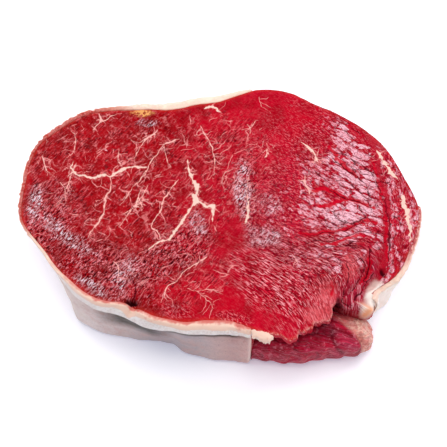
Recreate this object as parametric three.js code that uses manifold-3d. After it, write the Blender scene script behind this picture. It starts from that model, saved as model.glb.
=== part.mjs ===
// A raw beef topside joint: a thick slab cut across the grain, lying on its flat underside.
// Four solids: the lean with its cut face, the fat cap round the left half, the thin fat on
// the right side, and the small dark muscle tucked under the front right edge.
// Millimetres, +Z up, +X along the joint's length, the cut face on top.
import * as THREE from "three";
import Module from "manifold-3d";
import { mergeVertices } from "three/addons/utils/BufferGeometryUtils.js";

const wasm = await Module();
wasm.setup();

// Driving dimensions
const thickness = 46; // cut face above the board
const seamGap = 0.4; // between two solids that lie against each other
const footRound = 5; // radius of the lower edge
const rimRound = 1.2; // height of the rounding on the fat's rim
const crownIn = 0.25; // and how far in from the outside its highest line is, of the fat's depth
const capSpan = [76, 285]; // degrees round the joint that the fat cap covers
const sideFatSpan = [328, 362];
const muscleSpan = [285, 326.5];
const muscleRoom = 0.5; // cut out of the lean all round the small muscle

// The cut face: slow swells and finer ripples all over, coarse bundles of grain on the right
const swellHeight = 1.1;
const rippleHeight = 0.5;
const bundleHeight = 0.8;
const bundleStart = 30; // millimetres right of the middle
const bundleFull = 65;
const grainAngle = 30; // the bundles run down to the right by this many degrees
const cleftAt = 233.5; // where two muscles part at the front edge, in degrees
const cleftDepth = 4.5;
const bellyBulge = 1.6; // the sides bulge and hollow by this much

// Outlines as [degrees anticlockwise from +X, millimetres]
const leanEdge = [
  [0, 117], [9, 114], [20, 109.6], [32, 105.8], [42, 99.2], [53, 95.6], [67, 94],
  [74, 90.8], [81, 83], [90, 77], [104, 74.4], [114, 76.8], [124, 84.4], [134, 97],
  [146, 109.2], [159, 117.3], [171, 116.6], [183, 114], [190, 108.4], [198, 101.6],
  [208, 96.8], [214, 94.2], [221, 89.2], [233, 79.6], [244, 77.6], [253, 76.2], [265, 71.6],
  [274, 72.4], [281, 75.7], [286, 81.4], [291, 85.4], [297, 91], [304, 89.4],
  [309, 91.6], [313, 93], [316.5, 88.6], [320, 87], [326, 97.5], [332, 102.5],
  [338, 109], [346, 112.4], [353, 115.8],
];
const fatDepth = [
  [72, 0], [76, 1.8], [82, 3.6], [90, 5], [110, 5.4], [122, 5], [134, 3.6], [148, 2.6],
  [160, 1.7], [190, 1.7], [205, 2.2], [222, 2.7], [248, 2.8], [258, 3.3], [268, 4],
  [276, 3.9], [285, 2.8], [288, 0], [325, 0], [328, 2.6], [332, 3.2], [340, 3.2],
  [350, 2.6], [358, 1.8], [362, 1.6], [366, 0],
];
// How far the foot stands in from the rim above it
const undercut = [
  [0, 14], [20, 12], [45, 9], [70, 7], [90, 6], [130, 8], [150, 14], [168, 21],
  [182, 24], [192, 23], [200, 19.5], [205, 10.6], [208.5, 2.6], [212, -1.2], [216, 0.2],
  [223, 0.9], [232, 0.6], [239, 5.2], [243, 7.2], [248, 7.2], [254, 3.4], [262, 0],
  [270, -2.6], [279, -1.6], [284, 0.2], [292, 2], [318, 2], [328, 1], [336, 3],
  [346, 8], [354, 12],
];
// How far the cut face droops where it meets the rim
const edgeDrop = [
  [0, 1.6], [40, 1.2], [74, 0.8], [90, 0.4], [150, 1.5], [172, 3], [190, 1.8], [204, 0.5],
  [284, 0.5], [297, 3], [313, 4], [318, 5.5], [326, 9], [332, 7.5], [340, 3.8], [350, 2.5],
];
// The fat cap's rim is turned over into a collar: the height of its lower edge, how far that
// stands out, and how deep the fold bites in beneath it
const foldHeight = [
  [200, 41], [216, 40.5], [224, 40], [232, 39.2], [240, 38.6], [246, 39.2], [253, 40.6],
  [262, 39.6], [275, 39.6], [285, 41], [300, 36], [320, 30], [334, 30], [350, 38], [360, 41],
];
const collarOut = [
  [206, 0], [216, 1.2], [224, 2], [232, 3.2], [240, 3.6], [246, 3], [253, 1.6], [262, 2.4],
  [275, 2], [283, 1.2], [288, 0],
];
const foldDepth = [
  [212, 0], [220, 1.6], [230, 3], [240, 3.4], [248, 2.2], [256, 1.2], [280, 1], [287, 0],
];
const foldStep = 1.6; // height over which the collar's edge turns in
const foldReach = 5; // and over which the wall comes back out below
// Under the lip on the front right the lean draws back, and beside it a flap bulges out
const lipRecess = [[283, 0], [288, 12], [296, 20], [316, 21], [319.5, 14], [322, 2], [325, 0]];
const sideFlare = [[318.5, 0], [321.5, 8], [325, 11], [328, 6], [332, 0]];
// The small muscle: its outer radius, radial width and height along its length
const muscleOuter = [
  [285, 80.5], [290, 85], [296, 90.5], [302, 95.5], [308, 100], [313, 106],
  [317, 111.5], [321, 113.5], [325, 109], [329, 100],
];
const muscleWidth = [[285, 20], [292, 32], [304, 40], [316, 44], [325, 34], [329, 22]];
const muscleTop = [
  [285, 30], [292, 33], [304, 33], [311, 29.5], [317, 26], [322, 23.5], [326, 20], [329, 16],
];
// A strip of muscle along the right side starts at this share of the edge radius, lies lower
// than the rest by its drop, and is parted from it by a groove
const stripInner = [
  [-60, 0.88], [-28, 0.965], [-23, 0.93], [-18, 0.89], [-10, 0.853], [-3, 0.83],
  [11, 0.862], [26, 0.95], [60, 0.88],
];
const stripDrop = [[-32, 0], [-28, 2.4], [-18, 2], [0, 1.3], [16, 0.8], [28, 0]];
const stripGroove = [[-33, 0], [-27, 4], [-22, 3], [-12, 1.4], [11, 0.7], [28, 0]];

const radians = Math.PI / 180;

// Value of a round table at an angle, by a smooth curve through its points
function round(table, degrees) {
  const n = table.length;
  const first = table[0][0];
  const a = ((((degrees - first) % 360) + 360) % 360) + first;
  let i = n - 1;
  while (i > 0 && table[i][0] > a) i -= 1;
  const at = (k) => {
    const turns = Math.floor(k / n);
    const [angle, value] = table[k - turns * n];
    return [angle + 360 * turns, value];
  };
  const [p, q, r, s] = [at(i - 1), at(i), at(i + 1), at(i + 2)];
  const t = (a - q[0]) / (r[0] - q[0]);
  const slope = (u, v, w) => {
    const left = (v[1] - u[1]) / (v[0] - u[0]);
    const right = (w[1] - v[1]) / (w[0] - v[0]);
    return left * right <= 0 ? 0 : (2 * left * right) / (left + right);
  };
  const span = r[0] - q[0];
  const [m0, m1] = [slope(p, q, r) * span, slope(q, r, s) * span];
  const [t2, t3] = [t * t, t * t * t];
  return (
    (2 * t3 - 3 * t2 + 1) * q[1] +
    (t3 - 2 * t2 + t) * m0 +
    (3 * t2 - 2 * t3) * r[1] +
    (t3 - t2) * m1
  );
}

// Value of an open table, eased between its points, and zero or held level outside them
function open(table, degrees, outside = 0) {
  const last = table[table.length - 1];
  if (degrees <= table[0][0]) return outside === null ? table[0][1] : outside;
  if (degrees >= last[0]) return outside === null ? last[1] : outside;
  const i = table.findIndex((row) => row[0] > degrees);
  const [[a, u], [b, v]] = [table[i - 1], table[i]];
  const t = (degrees - a) / (b - a);
  return u + (v - u) * t * t * (3 - 2 * t);
}

const clamp = (x) => Math.min(1, Math.max(0, x));
const smooth = (x) => clamp(x) * clamp(x) * (3 - 2 * clamp(x));
const bell = (x) => Math.exp(-x * x);
const turned = (degrees) => (degrees > 180 ? degrees - 360 : degrees);

// Depth of fat at an angle
const fatAt = (degrees) => open(fatDepth, degrees < 72 ? degrees + 360 : degrees);

// Torn and trimmed places make the edge uneven
function ragged(degrees) {
  const torn = bell((degrees - 300) / 16);
  return (
    0.5 * Math.sin(degrees * 18 * radians + 1) +
    torn * (1.1 * Math.sin(degrees * 0.83 + 0.7) + 0.7 * Math.sin(degrees * 1.9))
  );
}

const edgeAt = (degrees) => round(leanEdge, degrees) + ragged(degrees);
const rimAt = (degrees) => edgeAt(degrees) - seamGap * clamp(fatAt(degrees));

// Height of the cut face at an angle and a share of the edge radius
function faceHeight(degrees, share) {
  const r = share * edgeAt(degrees);
  const x = r * Math.cos(degrees * radians);
  const y = r * Math.sin(degrees * radians);
  const a = turned(degrees);
  const waves =
    swellHeight * Math.sin(x / 31 + 0.6) * Math.cos(y / 24 - 0.4) +
    rippleHeight * Math.sin(x / 12.5 - y / 17 + 1.1);
  // The bundles lie along u and step across v
  const u = x * Math.cos(grainAngle * radians) - y * Math.sin(grainAngle * radians);
  const v = x * Math.sin(grainAngle * radians) + y * Math.cos(grainAngle * radians);
  const right = bundleHeight * smooth((x - bundleStart) / (bundleFull - bundleStart));
  const bundles = right * Math.sin(v / 2.3 + 1.4 * Math.sin(u / 15)) * Math.sin(u / 8.5 + v / 19);
  const inner = open(stripInner, a, null);
  const strip = open(stripDrop, a) * smooth((share - inner) / 0.04 + 0.5);
  const groove = open(stripGroove, a) * bell((share - inner) / 0.018);
  const droop = round(edgeDrop, degrees) * smooth((share - 0.72) / 0.28) ** 2;
  const cleft = cleftDepth * bell((degrees - cleftAt) / 2.2) * bell((1 - share) / 0.045);
  return thickness + waves + bundles - strip - groove - droop - cleft;
}

// Radius of the joint's outer surface at an angle and a height
function outerRadius(degrees, z) {
  const top = faceHeight(degrees, 1);
  const low = clamp(1 - z / top);
  const fold = open(foldHeight, degrees, null);
  const rim = edgeAt(degrees) + fatAt(degrees);
  const foot = footRound * (1 - Math.sqrt(1 - clamp(1 - z / footRound) ** 2));
  const belly = bellyBulge * Math.sin(Math.PI * low) * Math.sin(degrees * 4 * radians + 0.4);
  const collar = Math.sin((Math.PI / 2) * clamp((top - z) / (top - fold)));
  const step = smooth((fold - z) / foldStep);
  const hollow = step * bell(Math.max(fold - z - foldStep, 0) / foldReach);
  return (
    rim -
    round(undercut, degrees) * low ** 1.2 +
    belly * (1 - 0.6 * bell((z - fold) / 6)) +
    open(collarOut, degrees) * collar * (1 - step) -
    open(foldDepth, degrees) * hollow +
    open(sideFlare, degrees) * Math.sin(Math.PI * Math.sqrt(low)) -
    open(lipRecess, degrees) * smooth((top - 5 - z) / 8) -
    foot
  );
}

// The lean stops short of the outer surface where fat covers it
function leanRadius(degrees, z) {
  const fat = fatAt(degrees);
  return outerRadius(degrees, z) - fat - seamGap * clamp(fat);
}

// Heights down the side, packed close round the fold
function sideHeights(degrees, top) {
  const fold = open(foldHeight, degrees, null);
  const upper = [0.25, 0.55, 0.8].map((t) => top + (fold - top) * t);
  const lower = [0, 0.07, 0.2, 0.45, 0.7].map((t) => fold * (1 - t));
  return [...upper, ...lower, footRound, footRound * 0.35, 0];
}

// Angles round the joint: fine where the edge is torn and on the coarse-grained right half
const angles = [];
for (let a = 0; a < 359; a += a >= 284 && a < 346 ? 2 : a < 72 || a >= 346 ? 3 : 4) angles.push(a);

function pointAt(degrees, r, z) {
  return [r * Math.cos(degrees * radians), r * Math.sin(degrees * radians), z];
}

// A closed surface from rows of equal length, each row a closed ring, with a point at either end
function closedByPoles(rows, firstPole, lastPole) {
  const n = rows[0].length;
  const position = [firstPole, ...rows.flat(), lastPole].flat();
  const last = position.length / 3 - 1;
  const index = [];
  const id = (row, k) => 1 + row * n + (k % n);
  for (let k = 0; k < n; k += 1) {
    index.push(0, id(0, k), id(0, k + 1));
    for (let row = 0; row + 1 < rows.length; row += 1) {
      const [a, b, c, d] = [id(row, k), id(row + 1, k), id(row + 1, k + 1), id(row, k + 1)];
      index.push(a, b, c, a, c, d);
    }
    index.push(last, id(rows.length - 1, k + 1), id(rows.length - 1, k));
  }
  return geometryOf(position, index);
}

// A closed surface from a run of closed sections, with flat ends
function closedRun(sections) {
  const n = sections[0].length;
  const position = sections.flat(2);
  const index = [];
  const id = (s, k) => s * n + (k % n);
  for (let s = 0; s + 1 < sections.length; s += 1) {
    for (let k = 0; k < n; k += 1) {
      const [a, b, c, d] = [id(s, k), id(s, k + 1), id(s + 1, k + 1), id(s + 1, k)];
      const inward = k >= n / 2;
      index.push(...(inward ? [a, b, d, b, c, d] : [a, b, c, a, c, d]));
    }
  }
  // Each section is an outer line down and an inner line back up, so its end is a ladder
  const end = sections.length - 1;
  for (let k = 0; k + 1 < n / 2; k += 1) {
    const m = n - 1 - k;
    index.push(id(0, k), id(0, m), id(0, m - 1), id(0, k), id(0, m - 1), id(0, k + 1));
    index.push(id(end, k), id(end, m - 1), id(end, m), id(end, k), id(end, k + 1), id(end, m - 1));
  }
  return geometryOf(position, index);
}

function geometryOf(position, index) {
  const geometry = new THREE.BufferGeometry();
  geometry.setAttribute("position", new THREE.Float32BufferAttribute(position, 3));
  geometry.setIndex(index);
  geometry.computeVertexNormals();
  return geometry;
}

function solidOf(geometry) {
  const bare = new THREE.BufferGeometry();
  bare.setAttribute("position", geometry.getAttribute("position"));
  bare.setIndex(geometry.index);
  const merged = mergeVertices(bare, 1e-3);
  return new wasm.Manifold(
    new wasm.Mesh({
      numProp: 3,
      vertProperties: merged.attributes.position.array,
      triVerts: new Uint32Array(merged.index.array),
    }),
  );
}

function geometryFrom(solid) {
  const mesh = solid.getMesh();
  return geometryOf(Array.from(mesh.vertProperties), Array.from(mesh.triVerts));
}

// The small muscle as a fat sausage bent round the joint, grown on all sides by grow
function muscleGeometry(grow) {
  const [from, to] = muscleSpan;
  const steps = 22;
  const around = 18;
  const rows = [];
  for (let s = 1; s < steps; s += 1) {
    const t = s / steps;
    const degrees = from - grow * 0.6 + (to - from + 1.2 * grow) * (0.5 - 0.5 * Math.cos(Math.PI * t));
    const inside = Math.min(to, Math.max(from, degrees));
    const plump = Math.sin(Math.PI * t) ** 0.4;
    const wide = (open(muscleWidth, inside, null) / 2) * plump + grow;
    const top = open(muscleTop, inside, null) * (0.45 + 0.55 * plump) + grow;
    const centre = open(muscleOuter, inside, null) + grow - wide;
    const furrow = 1 - 0.07 * bell((degrees - 311) / 2) - 0.05 * bell((degrees - 300) / 2.5);
    rows.push(
      Array.from({ length: around }, (_, k) => {
        const w = (2 * Math.PI * k) / around;
        const [c, sn] = [Math.cos(w), Math.sin(w)];
        const r = centre + wide * furrow * Math.sign(c) * Math.abs(c) ** 0.75;
        const z = top / 2 + (top / 2) * furrow * Math.sign(sn) * Math.abs(sn) ** (sn < 0 ? 0.5 : 0.75);
        return pointAt(degrees, r, grow > 0 && z < top / 2 ? z - 2 * grow : Math.max(z, 0));
      }),
    );
  }
  const middle = (row) => row.reduce((sum, q) => sum.map((v, i) => v + q[i] / around), [0, 0, 0]);
  return closedByPoles(rows, middle(rows[0]), middle(rows[rows.length - 1]));
}

// The lean: the cut face in rings, the side in rows down to the foot, and a flat underside
function leanGeometry(muscle) {
  const within = [0.11, 0.24, 0.37, 0.49, 0.6, 0.7, 0.79, 0.86, 0.92, 0.965, 1];
  const beyond = [0.12, 0.3, 0.5, 0.7, 0.88, 1];
  const rings = [...within.map((t) => [t, 0]), ...beyond.map((t) => [1, t])];
  const rows = rings.map(([t, b]) =>
    angles.map((a) => {
      const inner = open(stripInner, turned(a), null);
      const share = t * inner + b * (1 - inner);
      return pointAt(a, share * rimAt(a), faceHeight(a, share));
    }),
  );
  const heights = angles.map((a) => sideHeights(a, faceHeight(a, 1)));
  heights[0].forEach((_, i) => {
    rows.push(angles.map((a, k) => pointAt(a, leanRadius(a, heights[k][i]), heights[k][i])));
  });
  rows.push(angles.map((a) => pointAt(a, 0.5 * leanRadius(a, 0), 0)));
  const whole = closedByPoles(rows, [0, 0, faceHeight(0, 0)], [0, 0, 0]);
  return geometryFrom(solidOf(whole).subtract(solidOf(muscle)));
}

// A layer of fat against the lean's side, from its cut edge on top down to the foot
function fatGeometry([from, to], proud) {
  const twice = [...angles, ...angles.map((a) => a + 360)];
  const covered = twice.filter((a) => a >= from && a <= to).map((a) => a % 360);
  const sections = covered.map((a) => {
    const top = faceHeight(a, 1);
    const lip = top + proud;
    const heights = sideHeights(a, top);
    const outer = [lip - rimRound, ...heights].map((z) => pointAt(a, outerRadius(a, z), z));
    const inner = [...heights].reverse().map((z) => pointAt(a, outerRadius(a, z) - fatAt(a), z));
    const rim = outerRadius(a, Math.min(lip, top));
    const crown = pointAt(a, rim - crownIn * fatAt(a), lip);
    const shoulder = pointAt(a, rim - fatAt(a), lip);
    return [crown, ...outer, ...inner, shoulder];
  });
  return closedRun(sections);
}

function piece(name, geometry, colour, roughness) {
  const material = new THREE.MeshStandardMaterial({ color: colour, roughness, metalness: 0 });
  const mesh = new THREE.Mesh(geometry, material);
  mesh.name = name;
  return mesh;
}

const joint = new THREE.Group();
joint.add(
  piece("lean", leanGeometry(muscleGeometry(muscleRoom)), "#b3202f", 0.38),
  piece("fat_cap", fatGeometry(capSpan, 0.3), "#ddc6b8", 0.5),
  piece("side_fat", fatGeometry(sideFatSpan, -0.6), "#eed6c8", 0.5),
  piece("side_muscle", muscleGeometry(0), "#8e2038", 0.42),
);

// The joint is stored with its box centred over the origin and its underside at zero
const box = new THREE.Box3().setFromObject(joint);
const centre = box.getCenter(new THREE.Vector3());
joint.children.forEach((mesh) => {
  mesh.position.set(-centre.x, -centre.y, -box.min.z);
});

export default joint;
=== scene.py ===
import bpy
import numpy as np
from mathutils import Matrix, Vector


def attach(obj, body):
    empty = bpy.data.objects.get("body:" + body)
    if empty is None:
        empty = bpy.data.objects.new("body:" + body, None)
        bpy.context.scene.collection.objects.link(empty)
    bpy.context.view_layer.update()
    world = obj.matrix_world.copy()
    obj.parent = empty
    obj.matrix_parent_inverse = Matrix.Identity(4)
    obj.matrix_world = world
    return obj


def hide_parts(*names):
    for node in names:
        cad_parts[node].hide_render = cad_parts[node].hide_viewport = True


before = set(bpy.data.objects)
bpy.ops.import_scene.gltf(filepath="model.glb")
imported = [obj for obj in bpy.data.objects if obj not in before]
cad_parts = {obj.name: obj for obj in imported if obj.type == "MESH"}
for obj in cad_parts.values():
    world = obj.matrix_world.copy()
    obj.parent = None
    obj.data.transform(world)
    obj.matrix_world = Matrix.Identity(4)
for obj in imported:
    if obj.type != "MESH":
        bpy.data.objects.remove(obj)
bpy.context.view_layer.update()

# A raw beef topside joint on a white table: the marbled cut face of the lean, the fat cap
# round its left half, thin fat on the right and a small dark muscle tucked under the front.

mm = 0.001

# Camera and light

view = {
    "target": (1.98, -0.25, 23.0),  # mm, what the middle of the picture looks at
    "elevation": 60.0,
    "distance": 670.5,  # mm
    "lens": 90.0,
    "sensor": 36.0,
    "picture": 447.0,  # pixels each way
    "shortening": 0.866,  # how a level length that runs away from the camera looks shorter
    "sightSlope": 0.577,  # mm across for each mm down a line of sight
}


def cameraAxes():
    # Sideways, up and back directions of the camera, from its elevation alone
    tilt = np.radians(view["elevation"])
    back = np.array([0.0, -np.cos(tilt), np.sin(tilt)])
    side = np.array([1.0, 0.0, 0.0])
    return side, np.cross(back, side), back


def onFace(pixels, height):
    # Where the line of sight through a picture point meets the level at this height (mm)
    side, up, back = cameraAxes()
    pixels = np.atleast_2d(np.asarray(pixels, float))
    reach = view["lens"] / view["sensor"] * view["picture"]
    half = view["picture"] / 2
    rays = (pixels[:, :1] - half) / reach * side + (half - pixels[:, 1:]) / reach * up - back
    eye = np.array(view["target"]) + back * view["distance"]
    return (eye + rays * ((height - eye[2]) / rays[:, 2])[:, None])[:, :2]


camera = bpy.data.objects.new("camera", bpy.data.cameras.new("camera"))
bpy.context.collection.objects.link(camera)
camera.data.lens = view["lens"]
camera.data.sensor_width = view["sensor"]
camera.data.clip_start = 0.01
axes = cameraAxes()
camera.location = Vector((np.array(view["target"]) + axes[2] * view["distance"]) * mm)
camera.rotation_euler = Vector(axes[2]).to_track_quat("Z", "Y").to_euler()
bpy.context.scene.camera = camera
bpy.context.scene.view_settings.view_transform = "Standard"

# Area lights: place, aim and size in metres, power in watts
light = {
    "overhead": dict(
        place=(-0.1, -0.05, 1.3), aim=(0, 0, 0.02), size=(0.8, 0.8),
        power=9.6, tint="#fffaf5", gloss=False,
    ),
    "backLeft": dict(
        place=(-0.55, 0.5, 0.95), aim=(0, 0, 0.02), size=(0.4, 0.4),
        power=3.2, tint="#fbfaff", gloss=True,
    ),
    "backRight": dict(
        place=(0.6, 0.45, 0.9), aim=(0.03, 0, 0.03), size=(0.35, 0.35),
        power=2.8, tint="#f6f4ff", gloss=True,
    ),
    "right": dict(
        place=(1.1, -0.35, 0.6), aim=(0.05, 0, 0.02), size=(0.5, 0.5),
        power=3.0, tint="#fff8f0", gloss=False,
    ),
}
skyStrength = 0.27


def colour(code):
    # Linear light from an sRGB hex code: each part to the power of 2.4, or a straight line where
    # it is nearly black
    parts = np.array([int(code[i:i + 2], 16) / 255 for i in (1, 3, 5)])
    linear = np.where(parts <= 0.04045, parts / 12.92, ((parts + 0.055) / 1.055) ** 2.4)
    return (*linear.tolist(), 1.0)


for name, settings in light.items():
    lamp = bpy.data.lights.new(name, "AREA")
    lamp.shape = "RECTANGLE"
    lamp.size, lamp.size_y = settings["size"]
    lamp.energy = settings["power"]
    lamp.color = colour(settings["tint"])[:3]
    holder = bpy.data.objects.new(name, lamp)
    holder.location = settings["place"]
    way = Vector(settings["place"]) - Vector(settings["aim"])
    holder.rotation_euler = way.to_track_quat("Z", "Y").to_euler()
    holder.visible_glossy = settings["gloss"]
    bpy.context.collection.objects.link(holder)

world = bpy.data.worlds.new("sky")
bpy.context.scene.world = world
world.use_nodes = True
world.node_tree.nodes["Background"].inputs["Color"].default_value = colour("#f3f1ff")
world.node_tree.nodes["Background"].inputs["Strength"].default_value = skyStrength
print("camera and lights ready")

# Small helpers for nodes, meshes and patterns


def node(tree, kind, settings, out=0):
    # Adds a shader node: a socket value links it, a property name sets it, the rest fill sockets
    made = tree.nodes.new("ShaderNode" + kind)
    for key, value in settings.items():
        if isinstance(key, str) and key not in made.inputs:
            setattr(made, key, value)
        elif isinstance(value, bpy.types.NodeSocket):
            tree.links.new(value, made.inputs[key])
        else:
            made.inputs[key].default_value = value
    return made.outputs[out]


def newMaterial(name):
    # An empty material with its surface shader and tree
    material = bpy.data.materials.new(name)
    material.use_nodes = True
    tree = material.node_tree
    return material, tree, tree.nodes["Principled BSDF"]


def noises(tree, place, rows):
    # Noises on the place. A row gives a name, cells per metre, the detail, and which of its
    # values become 0 and 1
    made = {}
    for name, scale, detail, low, high in rows:
        settings = {"Vector": place, "Scale": scale, "Detail": detail, "Roughness": 0.6}
        made[name + "Raw"] = node(tree, "TexNoise", settings, "Fac")
        made[name] = node(tree, "MapRange", {0: made[name + "Raw"], 1: low, 2: high, 3: 0.0, 4: 1.0})
    return made


def streak(tree, way, long, wide, bent, detail, roughness):
    # A noise stretched along the first of two coordinates, with cells this long and this wide
    run = node(tree, "Math", {"operation": "MULTIPLY", 0: way[0], 1: 1 / long})
    over = node(tree, "Math", {"operation": "MULTIPLY", 0: way[1], 1: 1 / wide})
    spot = node(tree, "CombineXYZ", {0: run, 1: over, 2: long})
    settings = {"Vector": spot, "Scale": 1.0, "Detail": detail, "Roughness": roughness, "Distortion": bent}
    return node(tree, "TexNoise", settings, "Fac")


def layered(tree, base, amount, tints):
    # Colours laid over a base in turn, each by its own amount. A tint is a hex code, or a
    # colour that nodes have made
    for name, tint in tints:
        shade = colour(tint) if isinstance(tint, str) else tint
        base = node(tree, "Mix", {"data_type": "RGBA", 0: amount[name], 6: base, 7: shade}, 2)
    return base


def makePiece(name, points, faceSets, fields, material):
    # Points in mm and arrays of triangles, quads or longer rings become one smooth mesh
    mesh = bpy.data.meshes.new(name)
    mesh.vertices.add(len(points))
    mesh.vertices.foreach_set("co", (np.asarray(points) * mm).astype(np.float32).ravel())
    sizes = np.concatenate([np.full(len(faces), faces.shape[1]) for faces in faceSets])
    corners = np.concatenate([faces.ravel() for faces in faceSets]).astype(np.int32)
    mesh.loops.add(len(corners))
    mesh.loops.foreach_set("vertex_index", corners)
    mesh.polygons.add(len(sizes))
    starts = np.concatenate([[0], np.cumsum(sizes)[:-1]]).astype(np.int32)
    mesh.polygons.foreach_set("loop_start", starts)
    mesh.update(calc_edges=True)
    mesh.validate()
    mesh.shade_smooth()
    for key, values in fields.items():
        layer = mesh.attributes.new(key, "FLOAT", "POINT")
        layer.data.foreach_set("value", np.asarray(values, np.float32).ravel())
    piece = bpy.data.objects.new(name, mesh)
    bpy.context.collection.objects.link(piece)
    mesh.materials.append(material)
    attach(piece, "root")
    print(name, len(points), "points")
    return piece


def ease(t):
    # Smooth step from 0 to 1: three times t squared, less twice t cubed
    t = np.clip(t, 0, 1)
    return t * t * (3 - 2 * t)


def bell(t):
    # A bell curve: 1 at 0, and e to the power of minus t squared elsewhere
    return np.exp(-t * t)


def roundTable(rows, degrees):
    # A table that goes all the way round: a cubic between its points, whose slope at each point
    # is the harmonic mean of the slopes on either side
    rows = np.array(rows, float)
    xs = np.concatenate([rows[-2:, 0] - 360, rows[:, 0], rows[:3, 0] + 360])
    ys = np.concatenate([rows[-2:, 1], rows[:, 1], rows[:3, 1]])
    steep = np.diff(ys) / np.diff(xs)
    product = steep[:-1] * steep[1:]
    total = steep[:-1] + steep[1:]
    slope = np.where(product > 0, 2 * product / np.where(total == 0, 1, total), 0)
    slope = np.concatenate([[0], slope, [0]])
    a = (degrees - rows[0, 0]) % 360 + rows[0, 0]
    i = np.clip(np.searchsorted(xs, a, side="right") - 1, 1, len(xs) - 3)
    span = xs[i + 1] - xs[i]
    t = (a - xs[i]) / span
    return (
        (2 * t**3 - 3 * t**2 + 1) * ys[i]
        + (t**3 - 2 * t**2 + t) * slope[i] * span
        + (3 * t**2 - 2 * t**3) * ys[i + 1]
        + (t**3 - t**2) * slope[i + 1] * span
    )


def openTable(rows, degrees, hold=False):
    # A table with two ends, eased between its points; outside it the value is 0, or held level
    rows = np.array(rows, float)
    i = np.clip(np.searchsorted(rows[:, 0], degrees, side="right") - 1, 0, len(rows) - 2)
    t = ease((degrees - rows[i, 0]) / (rows[i + 1, 0] - rows[i, 0]))
    value = rows[i, 1] + (rows[i + 1, 1] - rows[i, 1]) * t
    inside = (degrees > rows[0, 0]) & (degrees < rows[-1, 0])
    return value if hold else np.where(inside, value, 0)


def scatter(i, j, seed):
    # A repeatable random number from 0 to 1 for each pair of whole numbers: their weighed sum
    # with its bits mixed twice
    h = (i * 374761393 + j * 668265263 + seed * 974634777) & 0xFFFFFFFF
    h = ((h ^ (h >> 13)) * 1274126177) & 0xFFFFFFFF
    return ((h ^ (h >> 16)) & 0xFFFF) / 65535


def noise(x, y, seed):
    # Random heights from -1 to 1 at the corners of a unit grid, eased between them
    i, j = np.floor(x).astype(np.int64), np.floor(y).astype(np.int64)
    u, v = ease(x - i), ease(y - j)
    low = scatter(i, j, seed) * (1 - u) + scatter(i + 1, j, seed) * u
    high = scatter(i, j + 1, seed) * (1 - u) + scatter(i + 1, j + 1, seed) * u
    return 2 * (low * (1 - v) + high * v) - 1


def cells(x, y, seed, jitter=0.85):
    # One point is scattered in each unit square. Gives how far each place is from the border
    # between its nearest two points, how much that border runs along x, and its cell's tone
    i, j = np.floor(x).astype(np.int64), np.floor(y).astype(np.int64)
    near = np.full(x.shape, 1e9)
    far = np.full(x.shape, 1e9)
    nearX, nearY, farX, farY, tone = (np.zeros(x.shape) for _ in range(5))
    for dj in (-1, 0, 1):
        for di in (-1, 0, 1):
            px = i + di + 0.5 + jitter * (scatter(i + di, j + dj, seed) - 0.5)
            py = j + dj + 0.5 + jitter * (scatter(i + di, j + dj, seed + 1) - 0.5)
            gap = (x - px) ** 2 + (y - py) ** 2
            first = gap < near
            second = ~first & (gap < far)
            farX = np.where(first, nearX, np.where(second, px, farX))
            farY = np.where(first, nearY, np.where(second, py, farY))
            far = np.where(first, near, np.where(second, gap, far))
            near = np.where(first, gap, near)
            nearX, nearY = np.where(first, px, nearX), np.where(first, py, nearY)
            tone = np.where(first, scatter(i + di, j + dj, seed + 2), tone)
    reach = np.hypot(farX - nearX, farY - nearY) + 1e-6
    border = (far - near) / (2 * reach)
    return border, np.abs(farY - nearY) / reach, tone


# The joint's own form

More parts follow.
